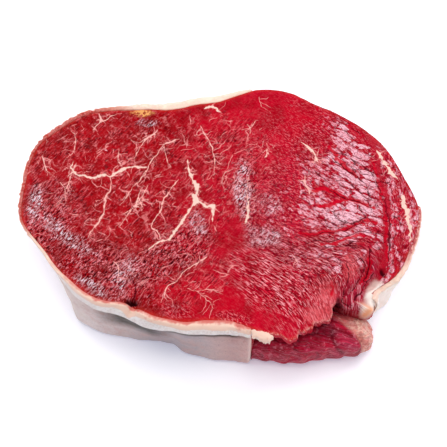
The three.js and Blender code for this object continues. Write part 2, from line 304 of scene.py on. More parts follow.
# Its outlines, as the solids have them: degrees anticlockwise from +X, then millimetres
joint = {
    "centre": (-1.01, -2.76),
    "thickness": 46.0,
    "footRound": 5.0,
    "leanEdge": [
        (0, 117), (9, 114), (20, 109.6), (32, 105.8), (42, 99.2), (53, 95.6), (67, 94), (74, 90.8),
        (81, 83), (90, 77), (104, 74.4), (114, 76.8), (124, 84.4), (134, 97), (146, 109.2), (159, 117.3),
        (171, 116.6), (183, 114), (190, 108.4), (198, 101.6), (208, 96.8), (214, 94.2), (221, 89.2),
        (233, 79.6), (244, 77.6), (253, 76.2), (265, 71.6), (274, 72.4), (281, 75.7), (286, 81.4),
        (291, 85.4), (297, 91), (304, 89.4), (309, 91.6), (313, 93), (316.5, 88.6), (320, 87),
        (326, 97.5), (332, 102.5), (338, 109), (346, 112.4), (353, 115.8),
    ],
    "fatDepth": [
        (72, 0), (76, 1.8), (82, 3.6), (90, 5), (110, 5.4), (122, 5), (134, 3.6), (148, 2.6), (160, 1.7),
        (190, 1.7), (205, 2.2), (222, 2.7), (248, 2.8), (258, 3.3), (268, 4), (276, 3.9), (285, 2.8),
        (288, 0), (325, 0), (328, 2.6), (332, 3.2), (340, 3.2), (350, 2.6), (358, 1.8), (362, 1.6),
        (366, 0),
    ],
    "undercut": [
        (0, 14), (20, 12), (45, 9), (70, 7), (90, 6), (130, 8), (150, 14), (168, 21), (182, 24),
        (192, 23), (200, 19.5), (205, 10.6), (208.5, 2.6), (212, -1.2), (216, 0.2), (223, 0.9),
        (232, 0.6), (239, 5.2), (243, 7.2), (248, 7.2), (254, 3.4), (262, 0), (270, -2.6), (279, -1.6),
        (284, 0.2), (292, 2), (318, 2), (328, 1), (336, 3), (346, 8), (354, 12),
    ],
    "edgeDrop": [
        (0, 1.6), (40, 1.2), (74, 0.8), (90, 0.4), (150, 1.5), (172, 3), (190, 1.8), (204, 0.5),
        (284, 0.5), (297, 3), (313, 4), (318, 5.5), (326, 9), (332, 7.5), (340, 3.8), (350, 2.5),
    ],
    "foldHeight": [
        (200, 41), (216, 40.5), (224, 40), (232, 39.2), (240, 38.6), (246, 39.2), (253, 40.6),
        (262, 39.6), (275, 39.6), (285, 41), (300, 36), (320, 30), (334, 30), (350, 38), (360, 41),
    ],
    "collarOut": [
        (206, 0), (216, 1.2), (224, 2), (232, 3.2), (240, 3.6), (246, 3), (253, 1.6), (262, 2.4),
        (275, 2), (283, 1.2), (288, 0),
    ],
    "foldDepth": [(212, 0), (220, 1.6), (230, 3), (240, 3.4), (248, 2.2), (256, 1.2), (280, 1), (287, 0)],
    "foldStep": 1.6,
    "foldReach": 5.0,
    "lipRecess": [(283, 0), (288, 12), (296, 20), (316, 21), (319.5, 14), (322, 2), (325, 0)],
    "sideFlare": [(318.5, 0), (321.5, 8), (325, 11), (328, 6), (332, 0)],
    "stripInner": [
        (-60, 0.88), (-28, 0.965), (-23, 0.93), (-18, 0.89), (-10, 0.853), (-3, 0.83), (11, 0.862),
        (26, 0.95), (60, 0.88),
    ],
    "stripDrop": [(-32, 0), (-28, 2.4), (-18, 2), (0, 1.3), (16, 0.8), (28, 0)],
    "stripGroove": [(-33, 0), (-27, 4), (-22, 3), (-12, 1.4), (11, 0.7), (28, 0)],
    "bellyBulge": 1.6,
    "swell": 1.1,
    "ripple": 0.5,
    "cleftAt": 233.5,
    "cleftDepth": 4.5,
    "tornEdge": (300, 16),  # degrees: the middle and half width of the torn front edge
}


def fatAt(degrees):
    # How thick the fat is. Its table starts at the cap's end and runs on past a full turn
    a = degrees % 360
    return openTable(joint["fatDepth"], np.where(a < joint["fatDepth"][0][0], a + 360, a))


def edgeAt(degrees):
    # The cut edge's table with small uneven waves, stronger where the front edge is torn
    a = degrees % 360
    torn = bell((a - joint["tornEdge"][0]) / joint["tornEdge"][1])
    waves = 1.1 * np.sin(a * 0.83 + 0.7) + 0.7 * np.sin(a * 1.9)
    return roundTable(joint["leanEdge"], a) + 0.5 * np.sin(np.radians(a * 18) + 1) + torn * waves


def faceHeight(degrees, share):
    # The cut face: slow swells, less the lower strip along the right side with its groove, the
    # droop towards the rim, and the cleft between two muscles at the front
    a = degrees % 360
    turned = np.where(a > 180, a - 360, a)
    r = share * edgeAt(a)
    x, y = r * np.cos(np.radians(a)), r * np.sin(np.radians(a))
    waves = joint["swell"] * np.sin(x / 31 + 0.6) * np.cos(y / 24 - 0.4)
    waves = waves + joint["ripple"] * np.sin(x / 12.5 - y / 17 + 1.1)
    inner = openTable(joint["stripInner"], turned, hold=True)
    strip = openTable(joint["stripDrop"], turned) * ease((share - inner) / 0.04 + 0.5)
    groove = openTable(joint["stripGroove"], turned) * bell((share - inner) / 0.018)
    droop = roundTable(joint["edgeDrop"], a) * ease((share - 0.72) / 0.28) ** 2
    cleft = joint["cleftDepth"] * bell((a - joint["cleftAt"]) / 2.2) * bell((1 - share) / 0.045)
    return joint["thickness"] + waves - strip - groove - droop - cleft


def outerRadius(degrees, z, fold=None):
    # The joint's outside at a height: the rim, less the tuck towards the foot and the hollow
    # under the lip, plus the belly, the flap, and the collar down to its fold. Below the fold the
    # outside steps in, and comes back out further down
    a = degrees % 360
    top = faceHeight(a, 1.0)
    low = np.clip(1 - z / top, 0, 1)
    fold = openTable(joint["foldHeight"], a, hold=True) if fold is None else fold
    footed = np.clip(1 - z / joint["footRound"], 0, 1)
    foot = joint["footRound"] * (1 - np.sqrt(1 - footed**2))
    belly = joint["bellyBulge"] * np.sin(np.pi * low) * np.sin(np.radians(a * 4) + 0.4)
    collar = np.sin(np.pi / 2 * np.clip((top - z) / (top - fold), 0, 1))
    step = ease((fold - z) / joint["foldStep"])
    hollow = step * bell(np.maximum(fold - z - joint["foldStep"], 0) / joint["foldReach"])
    return (
        edgeAt(a) + fatAt(a)
        - roundTable(joint["undercut"], a) * low**1.2
        + belly * (1 - 0.6 * bell((z - fold) / 6))
        + openTable(joint["collarOut"], a) * collar * (1 - step)
        - openTable(joint["foldDepth"], a) * hollow
        + openTable(joint["sideFlare"], a) * np.sin(np.pi * np.sqrt(low))
        - openTable(joint["lipRecess"], a) * ease((top - 5 - z) / 8)
        - foot
    )


def polar(degrees, r, z):
    # Points in the frame from an angle, a distance from the joint's centre and a height
    x = joint["centre"][0] + r * np.cos(np.radians(degrees))
    y = joint["centre"][1] + r * np.sin(np.radians(degrees))
    return np.stack(np.broadcast_arrays(x, y, z), -1)


def gridFaces(rows, columns, wrap=False, start=0):
    # Quads of a grid of points stored row by row, closed round its columns where wrapped
    i = np.arange(rows - 1)[:, None] * columns
    j = np.arange(columns if wrap else columns - 1)[None, :]
    after = (j + 1) % columns
    quads = np.stack([i + j, i + columns + j, i + columns + after, i + after], -1)
    return quads.reshape(-1, 4) + start


# The lean

# Lengths are in mm
lean = {
    "columns": 288,
    "rows": 228,
    "sideRows": 28,
    "level": 45.5,  # the cut face's usual height, where picture points are laid on it
    "seamGap": 0.12,
    "rimRound": 1.5,
    "large": (14.0, 5.6),  # along and across, the large bundles of grain at the right
    "small": (6.4, 3.2),
    "lumpHeight": 0.6,
    "cutDepth": 0.6,
    "channelDepth": 0.4,
    "cavityDepth": 2.5,
    "threadHeight": 0.15,
    "fibreHeight": 0.28,
}

# Which way the grain runs, at named places: picture point, then degrees down to the right
grain = {
    "middle": ((250, 200), 20),
    "back": ((330, 115), 42),
    "topRight": ((350, 155), 40),
    "upperRight": ((350, 175), 34),
    "right": ((355, 190), 26),
    "midRight": ((355, 205), 14),
    "level": ((360, 222), 0),
    "lowRight": ((345, 245), -8),
    "lowMiddle": ((300, 235), 14),
    "fibres": ((290, 275), 38),
    "lowFibres": ((265, 305), 34),
    "lip": ((322, 285), 78),
    "cornerRight": ((362, 270), 90),
    "flap": ((358, 294), 124),
}
threadTurn = 52.0  # degrees up to the right, the way of the short threads in the left half
raster = {
    "reach": (132, 100),  # mm each way from the middle
    "step": 2.0,  # mm
    "level": 45.0,  # mm
    "soften": 60,  # square mm, so that no named place weighs without limit
}


def grainFields():
    # Over a coarse raster the named directions are blended, each weighed by one over the cube of
    # its distance. The two coordinates, along and across the grain, are those whose slopes fit
    # the directions best: the least squares answer, from the raster mirrored and Fourier
    # transformed
    step = raster["step"]
    xs, ys = (np.arange(-far, far + 0.1, step) for far in raster["reach"])
    x, y = np.meshgrid(xs, ys)
    east, north = np.zeros(x.shape), np.zeros(x.shape)
    for place, down in grain.values():
        px, py = onFace([place], raster["level"])[0]
        way = np.arctan2(-np.sin(np.radians(down)) / view["shortening"], np.cos(np.radians(down)))
        weight = 1 / ((x - px) ** 2 + (y - py) ** 2 + raster["soften"]) ** 1.5
        east += weight * np.cos(way)
        north += weight * np.sin(way)
    along = np.arctan2(north, east)

    def fit(gx, gy):
        # The field whose slopes come nearest to these: their divergence, over the power of the
        # second difference at each frequency
        between = np.pad((gx[:, 1:] + gx[:, :-1]) / 2, ((0, 0), (1, 1)))
        above = np.pad((gy[1:] + gy[:-1]) / 2, ((1, 1), (0, 0)))
        source = (np.diff(between, axis=1) + np.diff(above, axis=0)) / step
        mirrored = np.block([[source, source[:, ::-1]], [source[::-1], source[::-1, ::-1]]])
        ky = 2 - 2 * np.cos(2 * np.pi * np.fft.fftfreq(mirrored.shape[0]))
        kx = 2 - 2 * np.cos(2 * np.pi * np.fft.fftfreq(mirrored.shape[1]))
        power = (kx[None, :] + ky[:, None]) / step**2
        power[0, 0] = 1
        level = np.real(np.fft.ifft2(-np.fft.fft2(mirrored) / power))
        return level[: x.shape[0], : x.shape[1]]

    return xs, ys, fit(np.cos(along), np.sin(along)), fit(-np.sin(along), np.cos(along))


def sample(xs, ys, table, x, y):
    # Straight blending between the four raster points round each place
    fx = np.clip((x - xs[0]) / (xs[1] - xs[0]), 0, len(xs) - 1.001)
    fy = np.clip((y - ys[0]) / (ys[1] - ys[0]), 0, len(ys) - 1.001)
    i, j = fx.astype(int), fy.astype(int)
    u, v = fx - i, fy - j
    low = table[j, i] * (1 - u) + table[j, i + 1] * u
    high = table[j + 1, i] * (1 - u) + table[j + 1, i + 1] * u
    return low * (1 - v) + high * v


# The main threads of fat, read off the photograph: half width in mm, then picture points
veins = {
    "leftTrunk": (
        0.95, [(72, 170), (80, 175), (94, 178), (105, 174), (110, 177), (119, 170), (132, 167), (145, 168)]
    ),
    "leftFall": (0.55, [(110, 177), (110, 189), (105, 196), (105, 210), (100, 222), (94, 228), (89, 236)]),
    "leftEnd": (0.4, [(72, 170), (75, 163), (72, 176), (66, 190)]),
    "leftPatch": (0.62, [(73, 163), (70, 168), (74, 171), (69, 177)]),
    "topShort": (0.4, [(157, 130), (147, 139), (140, 147), (135, 159)]),
    "topLong": (0.5, [(177, 140), (169, 143), (161, 147), (154, 157), (150, 164), (145, 175)]),
    "topFar": (0.25, [(71, 130), (77, 137), (76, 147), (72, 155)]),
    "topFork": (0.35, [(130, 139), (139, 144), (147, 138), (156, 133)]),
    "leftShort": (0.25, [(42, 156), (45, 168), (54, 176)]),
    "leftLow": (0.22, [(60, 182), (66, 192), (60, 204)]),
    "trunkTwig": (0.25, [(119, 150), (117, 160), (122, 165)]),
    "innerSlant": (0.25, [(148, 168), (139, 180), (127, 194), (121, 203)]),
    "star": (0.26, [(123, 213), (136, 205), (147, 199)]),
    "starShade": (0.25, [(136, 205), (140, 208)]),
    "starUp": (0.25, [(136, 205), (138, 195), (143, 186)]),
    "lowerNet": (0.2, [(188, 288), (198, 291), (207, 300), (213, 309)]),
    "lowerNetArm": (0.18, [(198, 291), (211, 288), (222, 293)]),
    "lowerLeft": (0.22, [(113, 262), (120, 270), (117, 282)]),
    "topBranch": (0.35, [(163, 146), (166, 157), (171, 167)]),
    "midTrunk": (0.8, [
        (187, 161), (190, 175), (198, 188), (195, 199), (191, 210), (178, 228), (169, 241), (159, 241),
        (150, 249),
    ]),
    "midThick": (1.3, [(192, 178), (198, 188), (196, 198), (194, 206)]),
    "midFork": (0.7, [(195, 199), (206, 208), (215, 205), (212, 220)]),
    "midTop": (0.35, [(201, 127), (205, 137), (212, 146), (216, 160), (214, 176)]),
    "midFine": (0.22, [(231, 169), (225, 173), (220, 186)]),
    "farLeft": (0.4, [(100, 114), (102, 121), (93, 130)]),
    "farLeftArm": (0.4, [(102, 121), (117, 114)]),
    "lowLong": (0.4, [(206, 257), (190, 266), (178, 279), (167, 286), (164, 297)]),
    "innerFall": (
        0.4, [(178, 180), (167, 191), (161, 209), (153, 222), (152, 228), (160, 232), (159, 239)]
    ),
    "innerFar": (0.3, [(148, 185), (142, 197), (136, 203), (129, 213), (118, 226)]),
    "innerShort": (0.25, [(148, 199), (140, 201), (143, 208)]),
    "rightTop": (0.6, [(303, 143), (310, 149), (314, 155), (316, 161)]),
    "rightTopFork": (0.45, [(314, 155), (313, 166), (319, 150)]),
    "rightMid": (0.55, [(298, 181), (304, 181), (306, 186), (310, 195)]),
    "rightMidFork": (0.35, [(304, 183), (305, 176)]),
    "centreTop": (0.22, [(266, 143), (269, 153)]),
    "centreMid": (0.3, [(250, 172), (247, 190), (247, 203)]),
    "centreBlob": (0.8, [(248, 203), (247, 213), (246, 221)]),
    "centreDot": (0.5, [(266, 149), (268, 153), (266, 157)]),
    "backOne": (0.2, [(259, 97), (262, 107)]),
    "backTwo": (0.22, [(247, 125), (251, 128), (250, 133)]),
    "backTwoArm": (0.2, [(251, 128), (256, 121)]),
    "backPatch": (0.7, [(207, 108), (213, 106), (219, 110)]),
    "stripTop": (1.1, [(377, 150), (384, 163), (391, 173), (397, 178)]),
    "stripMid": (1.2, [(402, 196), (405, 206), (409, 217), (412, 230)]),
    "stripLow": (0.9, [(413, 232), (411, 240)]),
    "lowRight": (0.35, [(293, 255), (297, 261), (300, 266)]),
}
boldVein = 0.6  # mm, half width: the thinner veins are drawn as branches
twigs = {
    "spacing": 2.3,  # mm along a thread between its twigs
    "steps": (2, 6),  # each 1 to 2.2 mm long
    "half": (0.06, 0.16),  # mm
    "turn": (0.5, 1.3),  # radians off their thread
    "bend": 0.35,  # radians at each step
    "loose": 330,  # short threads that stand alone in the left half
    "looseIn": ((-118, -80), (30, 60)),  # mm, lowest and highest corners
    "cuts": 150,  # short dark cuts along the grain among the large bundles
    "cutsIn": ((40, -60), (112, 60)),
    "cutSteps": (3, 10),
    "cutHalf": (0.1, 0.2),
    "cutBend": 0.22,
}

# Dark thin cuts between bundles of grain, and the broader wet red channels, in the same way
cuts = {
    "upper": (0.3, [(343, 130), (351, 137), (360, 143)]),
    "upperLong": (0.3, [(342, 151), (352, 160), (362, 165), (370, 172), (378, 186), (386, 205)]),
    "second": (0.3, [(334, 161), (341, 165), (350, 172), (357, 177), (365, 185), (370, 195), (375, 205)]),
    "inner": (0.25, [(312, 169), (319, 175), (326, 180), (333, 184)]),
    "third": (0.28, [(336, 181), (344, 181), (352, 186), (362, 194), (372, 201)]),
    "fourth": (0.25, [(330, 189), (341, 195), (352, 199), (362, 202), (374, 209)]),
    "lumpUnder": (0.3, [(331, 210), (337, 220), (350, 224), (360, 219), (367, 217), (375, 225)]),
    "lumpSide": (0.25, [(357, 204), (362, 210), (365, 217)]),
    "level": (0.28, [(300, 232), (312, 235), (331, 231), (344, 231), (354, 225), (364, 221)]),
    "levelLow": (0.25, [(305, 243), (318, 240), (333, 240), (347, 236), (360, 231), (374, 232)]),
    "lowArch": (0.25, [(318, 250), (332, 246), (346, 245), (358, 240), (372, 243)]),
    "strip": (0.35, [(384, 196), (388, 210), (390, 226), (391, 244), (390, 262)]),
    "stripCross": (0.3, [(391, 215), (398, 218), (404, 226)]),
    "slash": (0.3, [(370, 247), (372, 258), (369, 270), (366, 283)]),
    "cornerFold": (0.28, [(352, 262), (360, 258), (366, 263), (364, 274)]),
    "flapEdge": (0.3, [(347, 262), (350, 276), (346, 292), (341, 306)]),
    "flapFold": (0.3, [(374, 274), (366, 288), (358, 300), (352, 314)]),
    "flapShort": (0.25, [(364, 276), (356, 286), (350, 296)]),
    "seam": (0.3, [(134, 301), (137, 292), (136, 284), (132, 275)]),
}
channels = {
    "middle": (1.3, [(312, 191), (324, 188), (335, 192), (348, 198), (360, 202), (374, 208)]),
    "middleLeft": (1.2, [(318, 207), (330, 205), (338, 201), (350, 200)]),
    "level": (1.5, [(298, 232), (312, 234), (331, 231), (344, 230), (353, 225)]),
    "levelRight": (1.2, [(353, 225), (360, 221), (368, 219), (376, 222)]),
    "right": (1.2, [(371, 160), (378, 177), (381, 194), (386, 214), (386, 238), (390, 262)]),
    "upper": (1.4, [(330, 146), (336, 158), (346, 168), (358, 178)]),
    "low": (1.3, [(322, 244), (338, 242), (352, 236), (366, 236)]),
    "slit": (1.3, [(371, 255), (370, 266), (368, 277), (361, 285)]),
    "slitLow": (0.9, [(332, 280), (334, 289), (332, 297)]),
}


# Folds of the flap that hangs down at the front right: half width and height in mm, then course
folds = {
    "ridge": (1.5, 1.5, [(376, 258), (374, 272), (365, 286), (354, 295), (347, 305), (346, 312)]),
    "smallRidge": (1.0, 0.8, [(360, 292), (357, 302), (350, 312)]),
    "hollow": (2.0, -3.2, [(342, 301), (341, 308), (342, 314)]),
    "groove": (1.5, -2.0, [(368, 254), (370, 266), (366, 280), (355, 288), (346, 296)]),
    "gap": (1.6, -2.6, [(380, 266), (386, 273), (382, 281)]),
    "crease": (0.9, -1.2, [(364, 298), (359, 308), (352, 317)]),
}


def sightLine(y, height):
    # The photograph is seen from 60 degrees up: where its line of sight through a point that lies
    # above or below the cut face's usual level meets that level
    return y + (height - lean["level"]) / np.tan(np.radians(view["elevation"]))


def smoothCourse(course):
    # Corners are cut twice: each run gives its points at a quarter and three quarters
    points = onFace(course, lean["level"])
    for _ in range(2):
        inner = np.stack(
            [points[:-1] * 0.75 + points[1:] * 0.25, points[:-1] * 0.25 + points[1:] * 0.75], 1
        )
        points = np.concatenate([points[:1], inner.reshape(-1, 2), points[-1:]])
    return points


def strands(draw, starts, steps, half, bend):
    # Short runs from seeded places, each step 1 to 2.2 mm long and turned a little at random
    runs = []
    for spot, heading in starts:
        points = [spot]
        for _ in range(draw.integers(*steps)):
            heading += draw.normal(0, bend)
            points.append(
                points[-1] + draw.uniform(1.0, 2.2) * np.array([np.cos(heading), np.sin(heading)])
            )
        runs.append((draw.uniform(*half), np.array(points)))
    return runs


def twigRuns(draw):
    # Twigs leave each vein at seeded places. Loose threads lie where the left half shows them,
    # and run about the same way
    starts = []
    for _, course in veins.values():
        points = onFace(course, lean["level"])
        lengths = np.hypot(*np.diff(points, axis=0).T)
        for _ in range(int(lengths.sum() / twigs["spacing"])):
            k = draw.choice(len(lengths), p=lengths / lengths.sum())
            way = points[k + 1] - points[k]
            heading = np.arctan2(way[1], way[0]) + draw.choice([-1, 1]) * draw.uniform(*twigs["turn"])
            starts.append((points[k] + way * draw.random(), heading))
    spots = draw.uniform(*twigs["looseIn"], (twigs["loose"], 2))
    kept = area("threads", spots[:, 0], spots[:, 1]) > 0.5
    starts += [(spot, np.radians(threadTurn) + draw.normal(0, 0.45)) for spot in spots[kept]]
    return strands(draw, starts, twigs["steps"], twigs["half"], twigs["bend"])


def cutRuns(draw):
    # Dark cuts follow the grain, whose way is the slope of its own first coordinate
    xs, ys, along, _ = grainFields()
    spots = draw.uniform(*twigs["cutsIn"], (twigs["cuts"], 2))
    spots = spots[area("large", spots[:, 0], spots[:, 1]) > 0.4]
    here = sample(xs, ys, along, spots[:, 0], spots[:, 1])
    east = sample(xs, ys, along, spots[:, 0] + 1, spots[:, 1]) - here
    north = sample(xs, ys, along, spots[:, 0], spots[:, 1] + 1) - here
    starts = list(zip(spots, np.arctan2(north, east) + draw.normal(0, 0.25, len(spots))))
    return strands(draw, starts, twigs["cutSteps"], twigs["cutHalf"], twigs["cutBend"])


farSide, farAway = 20.0, 6.0  # half widths, and mm: what a place with no thread near it has


def threadReach(x, y, runs):
    # For the nearest thread of the set: how far each place is to its side, in its own half
    # widths and with a sign, so that it passes evenly through 0, and the distance to its edge in
    # mm. Threads narrow to their ends and are uneven, and noise shifts them so that none is straight
    wx = x + 0.8 * noise(x / 5, y / 5, 11) + 0.45 * noise(x / 1.9, y / 1.9, 12)
    wy = y + 0.8 * noise(x / 5, y / 5, 13) + 0.45 * noise(x / 1.9, y / 1.9, 14)
    uneven = 0.85 + 0.6 * noise(x / 2.2, y / 2.2, 15)
    side, least = np.full(x.shape, farSide), np.full(x.shape, farAway)
    for half, points in runs:
        low, high = points.min(0) - farAway - 1, points.max(0) + farAway + 1
        box = (wx > low[0]) & (wx < high[0]) & (wy > low[1]) & (wy < high[1])
        px, py, rough = wx[box], wy[box], uneven[box]
        near, across = least[box], side[box]
        last = len(points) - 1
        for k in range(last):
            a, way = points[k], points[k + 1] - points[k]
            along = ((px - a[0]) * way[0] + (py - a[1]) * way[1]) / max(way @ way, 1e-9)
            t = np.clip(along, 0, 1)
            gap = np.hypot(px - a[0] - t * way[0], py - a[1] - t * way[1])
            turnSide = np.sign((px - a[0]) * way[1] - (py - a[1]) * way[0])
            width = half * rough * (0.4 + 0.75 * np.sin(np.pi * np.clip((k + t) / last * 0.8 + 0.15, 0, 1)))
            closer = gap - width < near
            near = np.where(closer, gap - width, near)
            across = np.where(closer, np.clip(turnSide * gap / width, -farSide, farSide), across)
        least[box], side[box] = near, across
    return side, least


def flapRelief(x, y):
    # The sum of the folds, each as high as a bell curve across its course
    total = np.zeros(x.shape)
    for half, high, course in folds.values():
        total += high * bell((threadReach(x, y, [(half, smoothCourse(course))])[1] + half) / half)
    return total


# Where the cut face changes its look: picture point, half lengths in mm, and turn in degrees
areas = {
    "large": [((357, 184), (16, 48), 14), ((352, 226), (18, 13), 0)],
    # Where the bundles are palest: partly a dried surface and partly painted sheen
    "pale": [
        ((360, 146), (10, 18), 38), ((358, 183), (12, 8), -32), ((352, 214), (15, 7), -5),
        ((366, 233), (7, 8), 0),
    ],
    "small": [((322, 205), (20, 34), 0), ((340, 252), (24, 13), 0)],
    "faint": [
        ((290, 215), (24, 28), 0), ((312, 170), (16, 16), 0), ((325, 268), (18, 14), 0),
        ((300, 250), (22, 12), -20),
    ],
    "grained": [
        ((178, 311), (9, 4), -12), ((236, 319), (10, 4), -12), ((330, 195), (40, 62), 10),
        ((285, 240), (24, 18), 0), ((400, 205), (8, 50), 10),
    ],
    # These patches are painted sheen: whitish where the wet grain catches the light
    "paintedSheen": [
        ((242, 190), (5, 20), 0), ((270, 205), (7, 8), 0), ((266, 237), (10, 7), 0),
        ((125, 272), (5.5, 12), -20), ((67, 236), (20, 5), -38), ((34, 203), (4, 12), 0),
        ((197, 220), (6, 8), 30), ((147, 123), (7, 3), 0), ((92, 287), (14, 4), -35),
    ],
    "speckle": [
        ((98, 266), (40, 16), -32), ((48, 225), (15, 26), 0), ((180, 248), (18, 14), 20),
        ((245, 190), (8, 24), 0), ((150, 268), (13, 13), 0),
    ],
    "threads": [
        ((110, 160), (62, 44), 0), ((150, 215), (46, 40), 0), ((60, 190), (26, 44), 0),
        ((230, 170), (26, 44), 0), ((160, 270), (40, 20), 0),
    ],
    "fibres": [((300, 282), (34, 25), -32), ((264, 276), (21, 15), -30), ((330, 262), (18, 26), 0)],
    "deep": [
        ((205, 300), (44, 12), -12), ((160, 300), (18, 12), 0), ((290, 122), (46, 18), -8),
        ((238, 135), (26, 24), 0), ((36, 222), (5, 5), 0),
    ],
    "lip": [((332, 300), (7, 14), 15), ((320, 316), (8, 5), 0), ((350, 268), (4, 10), 0)],
    "flap": [((358, 298), (11, 12), 0), ((373, 272), (4, 12), 0)],
    "yellow": [((140, 113), (6.5, 2.4), 0)],
    # The cavity and the hollows are holes and gaps that the material paints near black: painted shade
    "cavity": [((131.5, 303), (3.4, 1.9), -10)],
    "fatty": [((374.5, 302), (13.5, 4.6), 71)],
    "amber": [((371.5, 315), (4.6, 2.5), 50)],
    "hollow": [((341, 309), (2.0, 7), 0), ((384, 272), (1.4, 3.4), 25)],
}
softEdge = 0.45  # the share of an area's reach that its edge eases over
crispEdges = {"cavity": 0.2, "hollow": 0.2, "fatty": 0.24, "amber": 0.4}


def area(name, x, y):
    # 1 within the named ellipses, easing to 0 past their edges, which wander by noise
    most = np.zeros(x.shape)
    soft = crispEdges.get(name, softEdge)
    for middle, reach, turn in areas[name]:
        cx, cy = onFace([middle], lean["level"])[0]
        dx, dy = x - cx, y - cy
        c, s = np.cos(np.radians(turn)), np.sin(np.radians(turn))
        away = np.hypot((dx * c + dy * s) / reach[0], (dy * c - dx * s) / reach[1])
        away = away + 0.22 * noise(x / 9, y / 9, 51) + 0.1 * noise(x / 4, y / 4, 52)
        most = np.maximum(most, ease((1 + soft - away) / (2 * soft)))
    return most


def discGrid(columns, rows):
    # A square grid laid on a disc: every square ring of the grid becomes a circle
    a, b = np.meshgrid(np.linspace(-1, 1, columns), np.linspace(-1, 1, rows))
    wide = np.abs(a) >= np.abs(b)
    turn = np.where(wide, np.pi / 4 * b / a, np.pi / 2 - np.pi / 4 * a / b)
    r = np.where(wide, a, b)
    return r * np.cos(turn), r * np.sin(turn)


def faceLooks(x, y, degrees, share, rim):
    # Everything about the cut face that shader and relief share, as one value for each place
    xs, ys, along, across = grainFields()
    u, v = sample(xs, ys, along, x, y), sample(xs, ys, across, x, y)
    turned = np.where(degrees > 180, degrees - 360, degrees)
    inner = openTable(joint["stripInner"], turned, hold=True)
    # On the lower strip the grain runs round the joint, 100 mm out, clear of the other coordinates
    strip = ease((share - inner) / 0.02) * ease((turned + 33) / 4) * ease((30 - turned) / 8)
    u = u * (1 - strip) + (np.radians(turned) * 100 + 300) * strip
    v = v * (1 - strip) + share * rim * strip
    groove = (share - inner) * rim + 60 * (1 - ease((turned + 34) / 3) * ease((31 - turned) / 3))
    looks = {name: area(name, x, y) for name in areas}
    looks["large"] = np.maximum(looks["large"] * (1 - strip), 0.4 * strip)
    looks["small"] = np.maximum(np.maximum(looks["small"], 0.8 * looks["faint"]), 0.9 * strip)
    # The painted sheen patches carry the speckle too
    looks["speckle"] = np.maximum(looks["speckle"], 0.7 * looks["paintedSheen"])
    for name in ("large", "small", "fibres"):
        looks[name] = looks[name] * (1 - 0.55 * looks["lip"]) * (1 - looks["flap"])

    # Bundles of grain are cells stretched along it and bent by noise: the distance to their
    # borders in mm, and a tone for each
    bend = 1.3 * noise(u / 12, v / 7, 21) + 0.7 * noise(u / 4, v / 2.8, 26)
    drift = 1.5 * noise(u / 7, v / 5, 27) + 0.8 * noise(u / 2.8, v / 2.2, 28)
    swollen = np.full(x.shape, -1.0)
    for name, seed in (("large", 31), ("small", 61)):
        long, wide = lean[name]
        border, level, tone = cells((u + 2 * drift) / long, (v + bend) / wide, seed)
        border = border * (wide + (1 - level) * (long - wide) * 0.6)
        looks[name + "Border"], looks[name + "Tone"] = border, tone
        swollen = np.maximum(swollen, ease((border - 0.2) / 1.2) * (0.5 + tone) * looks[name] - 0.3)
    draw = np.random.default_rng(7)
    for name, runs in (
        ("vein", [(half, smoothCourse(course)) for half, course in veins.values() if half >= boldVein]),
        (
            "branch",
            [(0.65 * half, smoothCourse(course)) for half, course in veins.values() if half < boldVein]
        ),
        ("twig", twigRuns(draw)),
        ("cut", [(half, smoothCourse(course)) for half, course in cuts.values()] + cutRuns(draw)),
        ("channel", [(half, smoothCourse(course)) for half, course in channels.values()]),
    ):
        looks[name + "Side"], looks[name] = threadReach(x, y, runs)
    looks.update(along=u, across=v, groove=groove, swollen=swollen)
    return looks


leanFields = (
    "vein", "veinSide", "branch", "branchSide", "twig", "twigSide", "cut", "cutSide", "channel",
    "large", "largeBorder", "largeTone", "small", "smallBorder", "smallTone", "pale", "groove",
    "speckle", "paintedSheen", "grained", "threads", "fibres", "deep", "lip", "flap", "lipEdge", "fatty",
    "amber", "yellow", "cavity", "hollow", "along", "across", "inward",
)


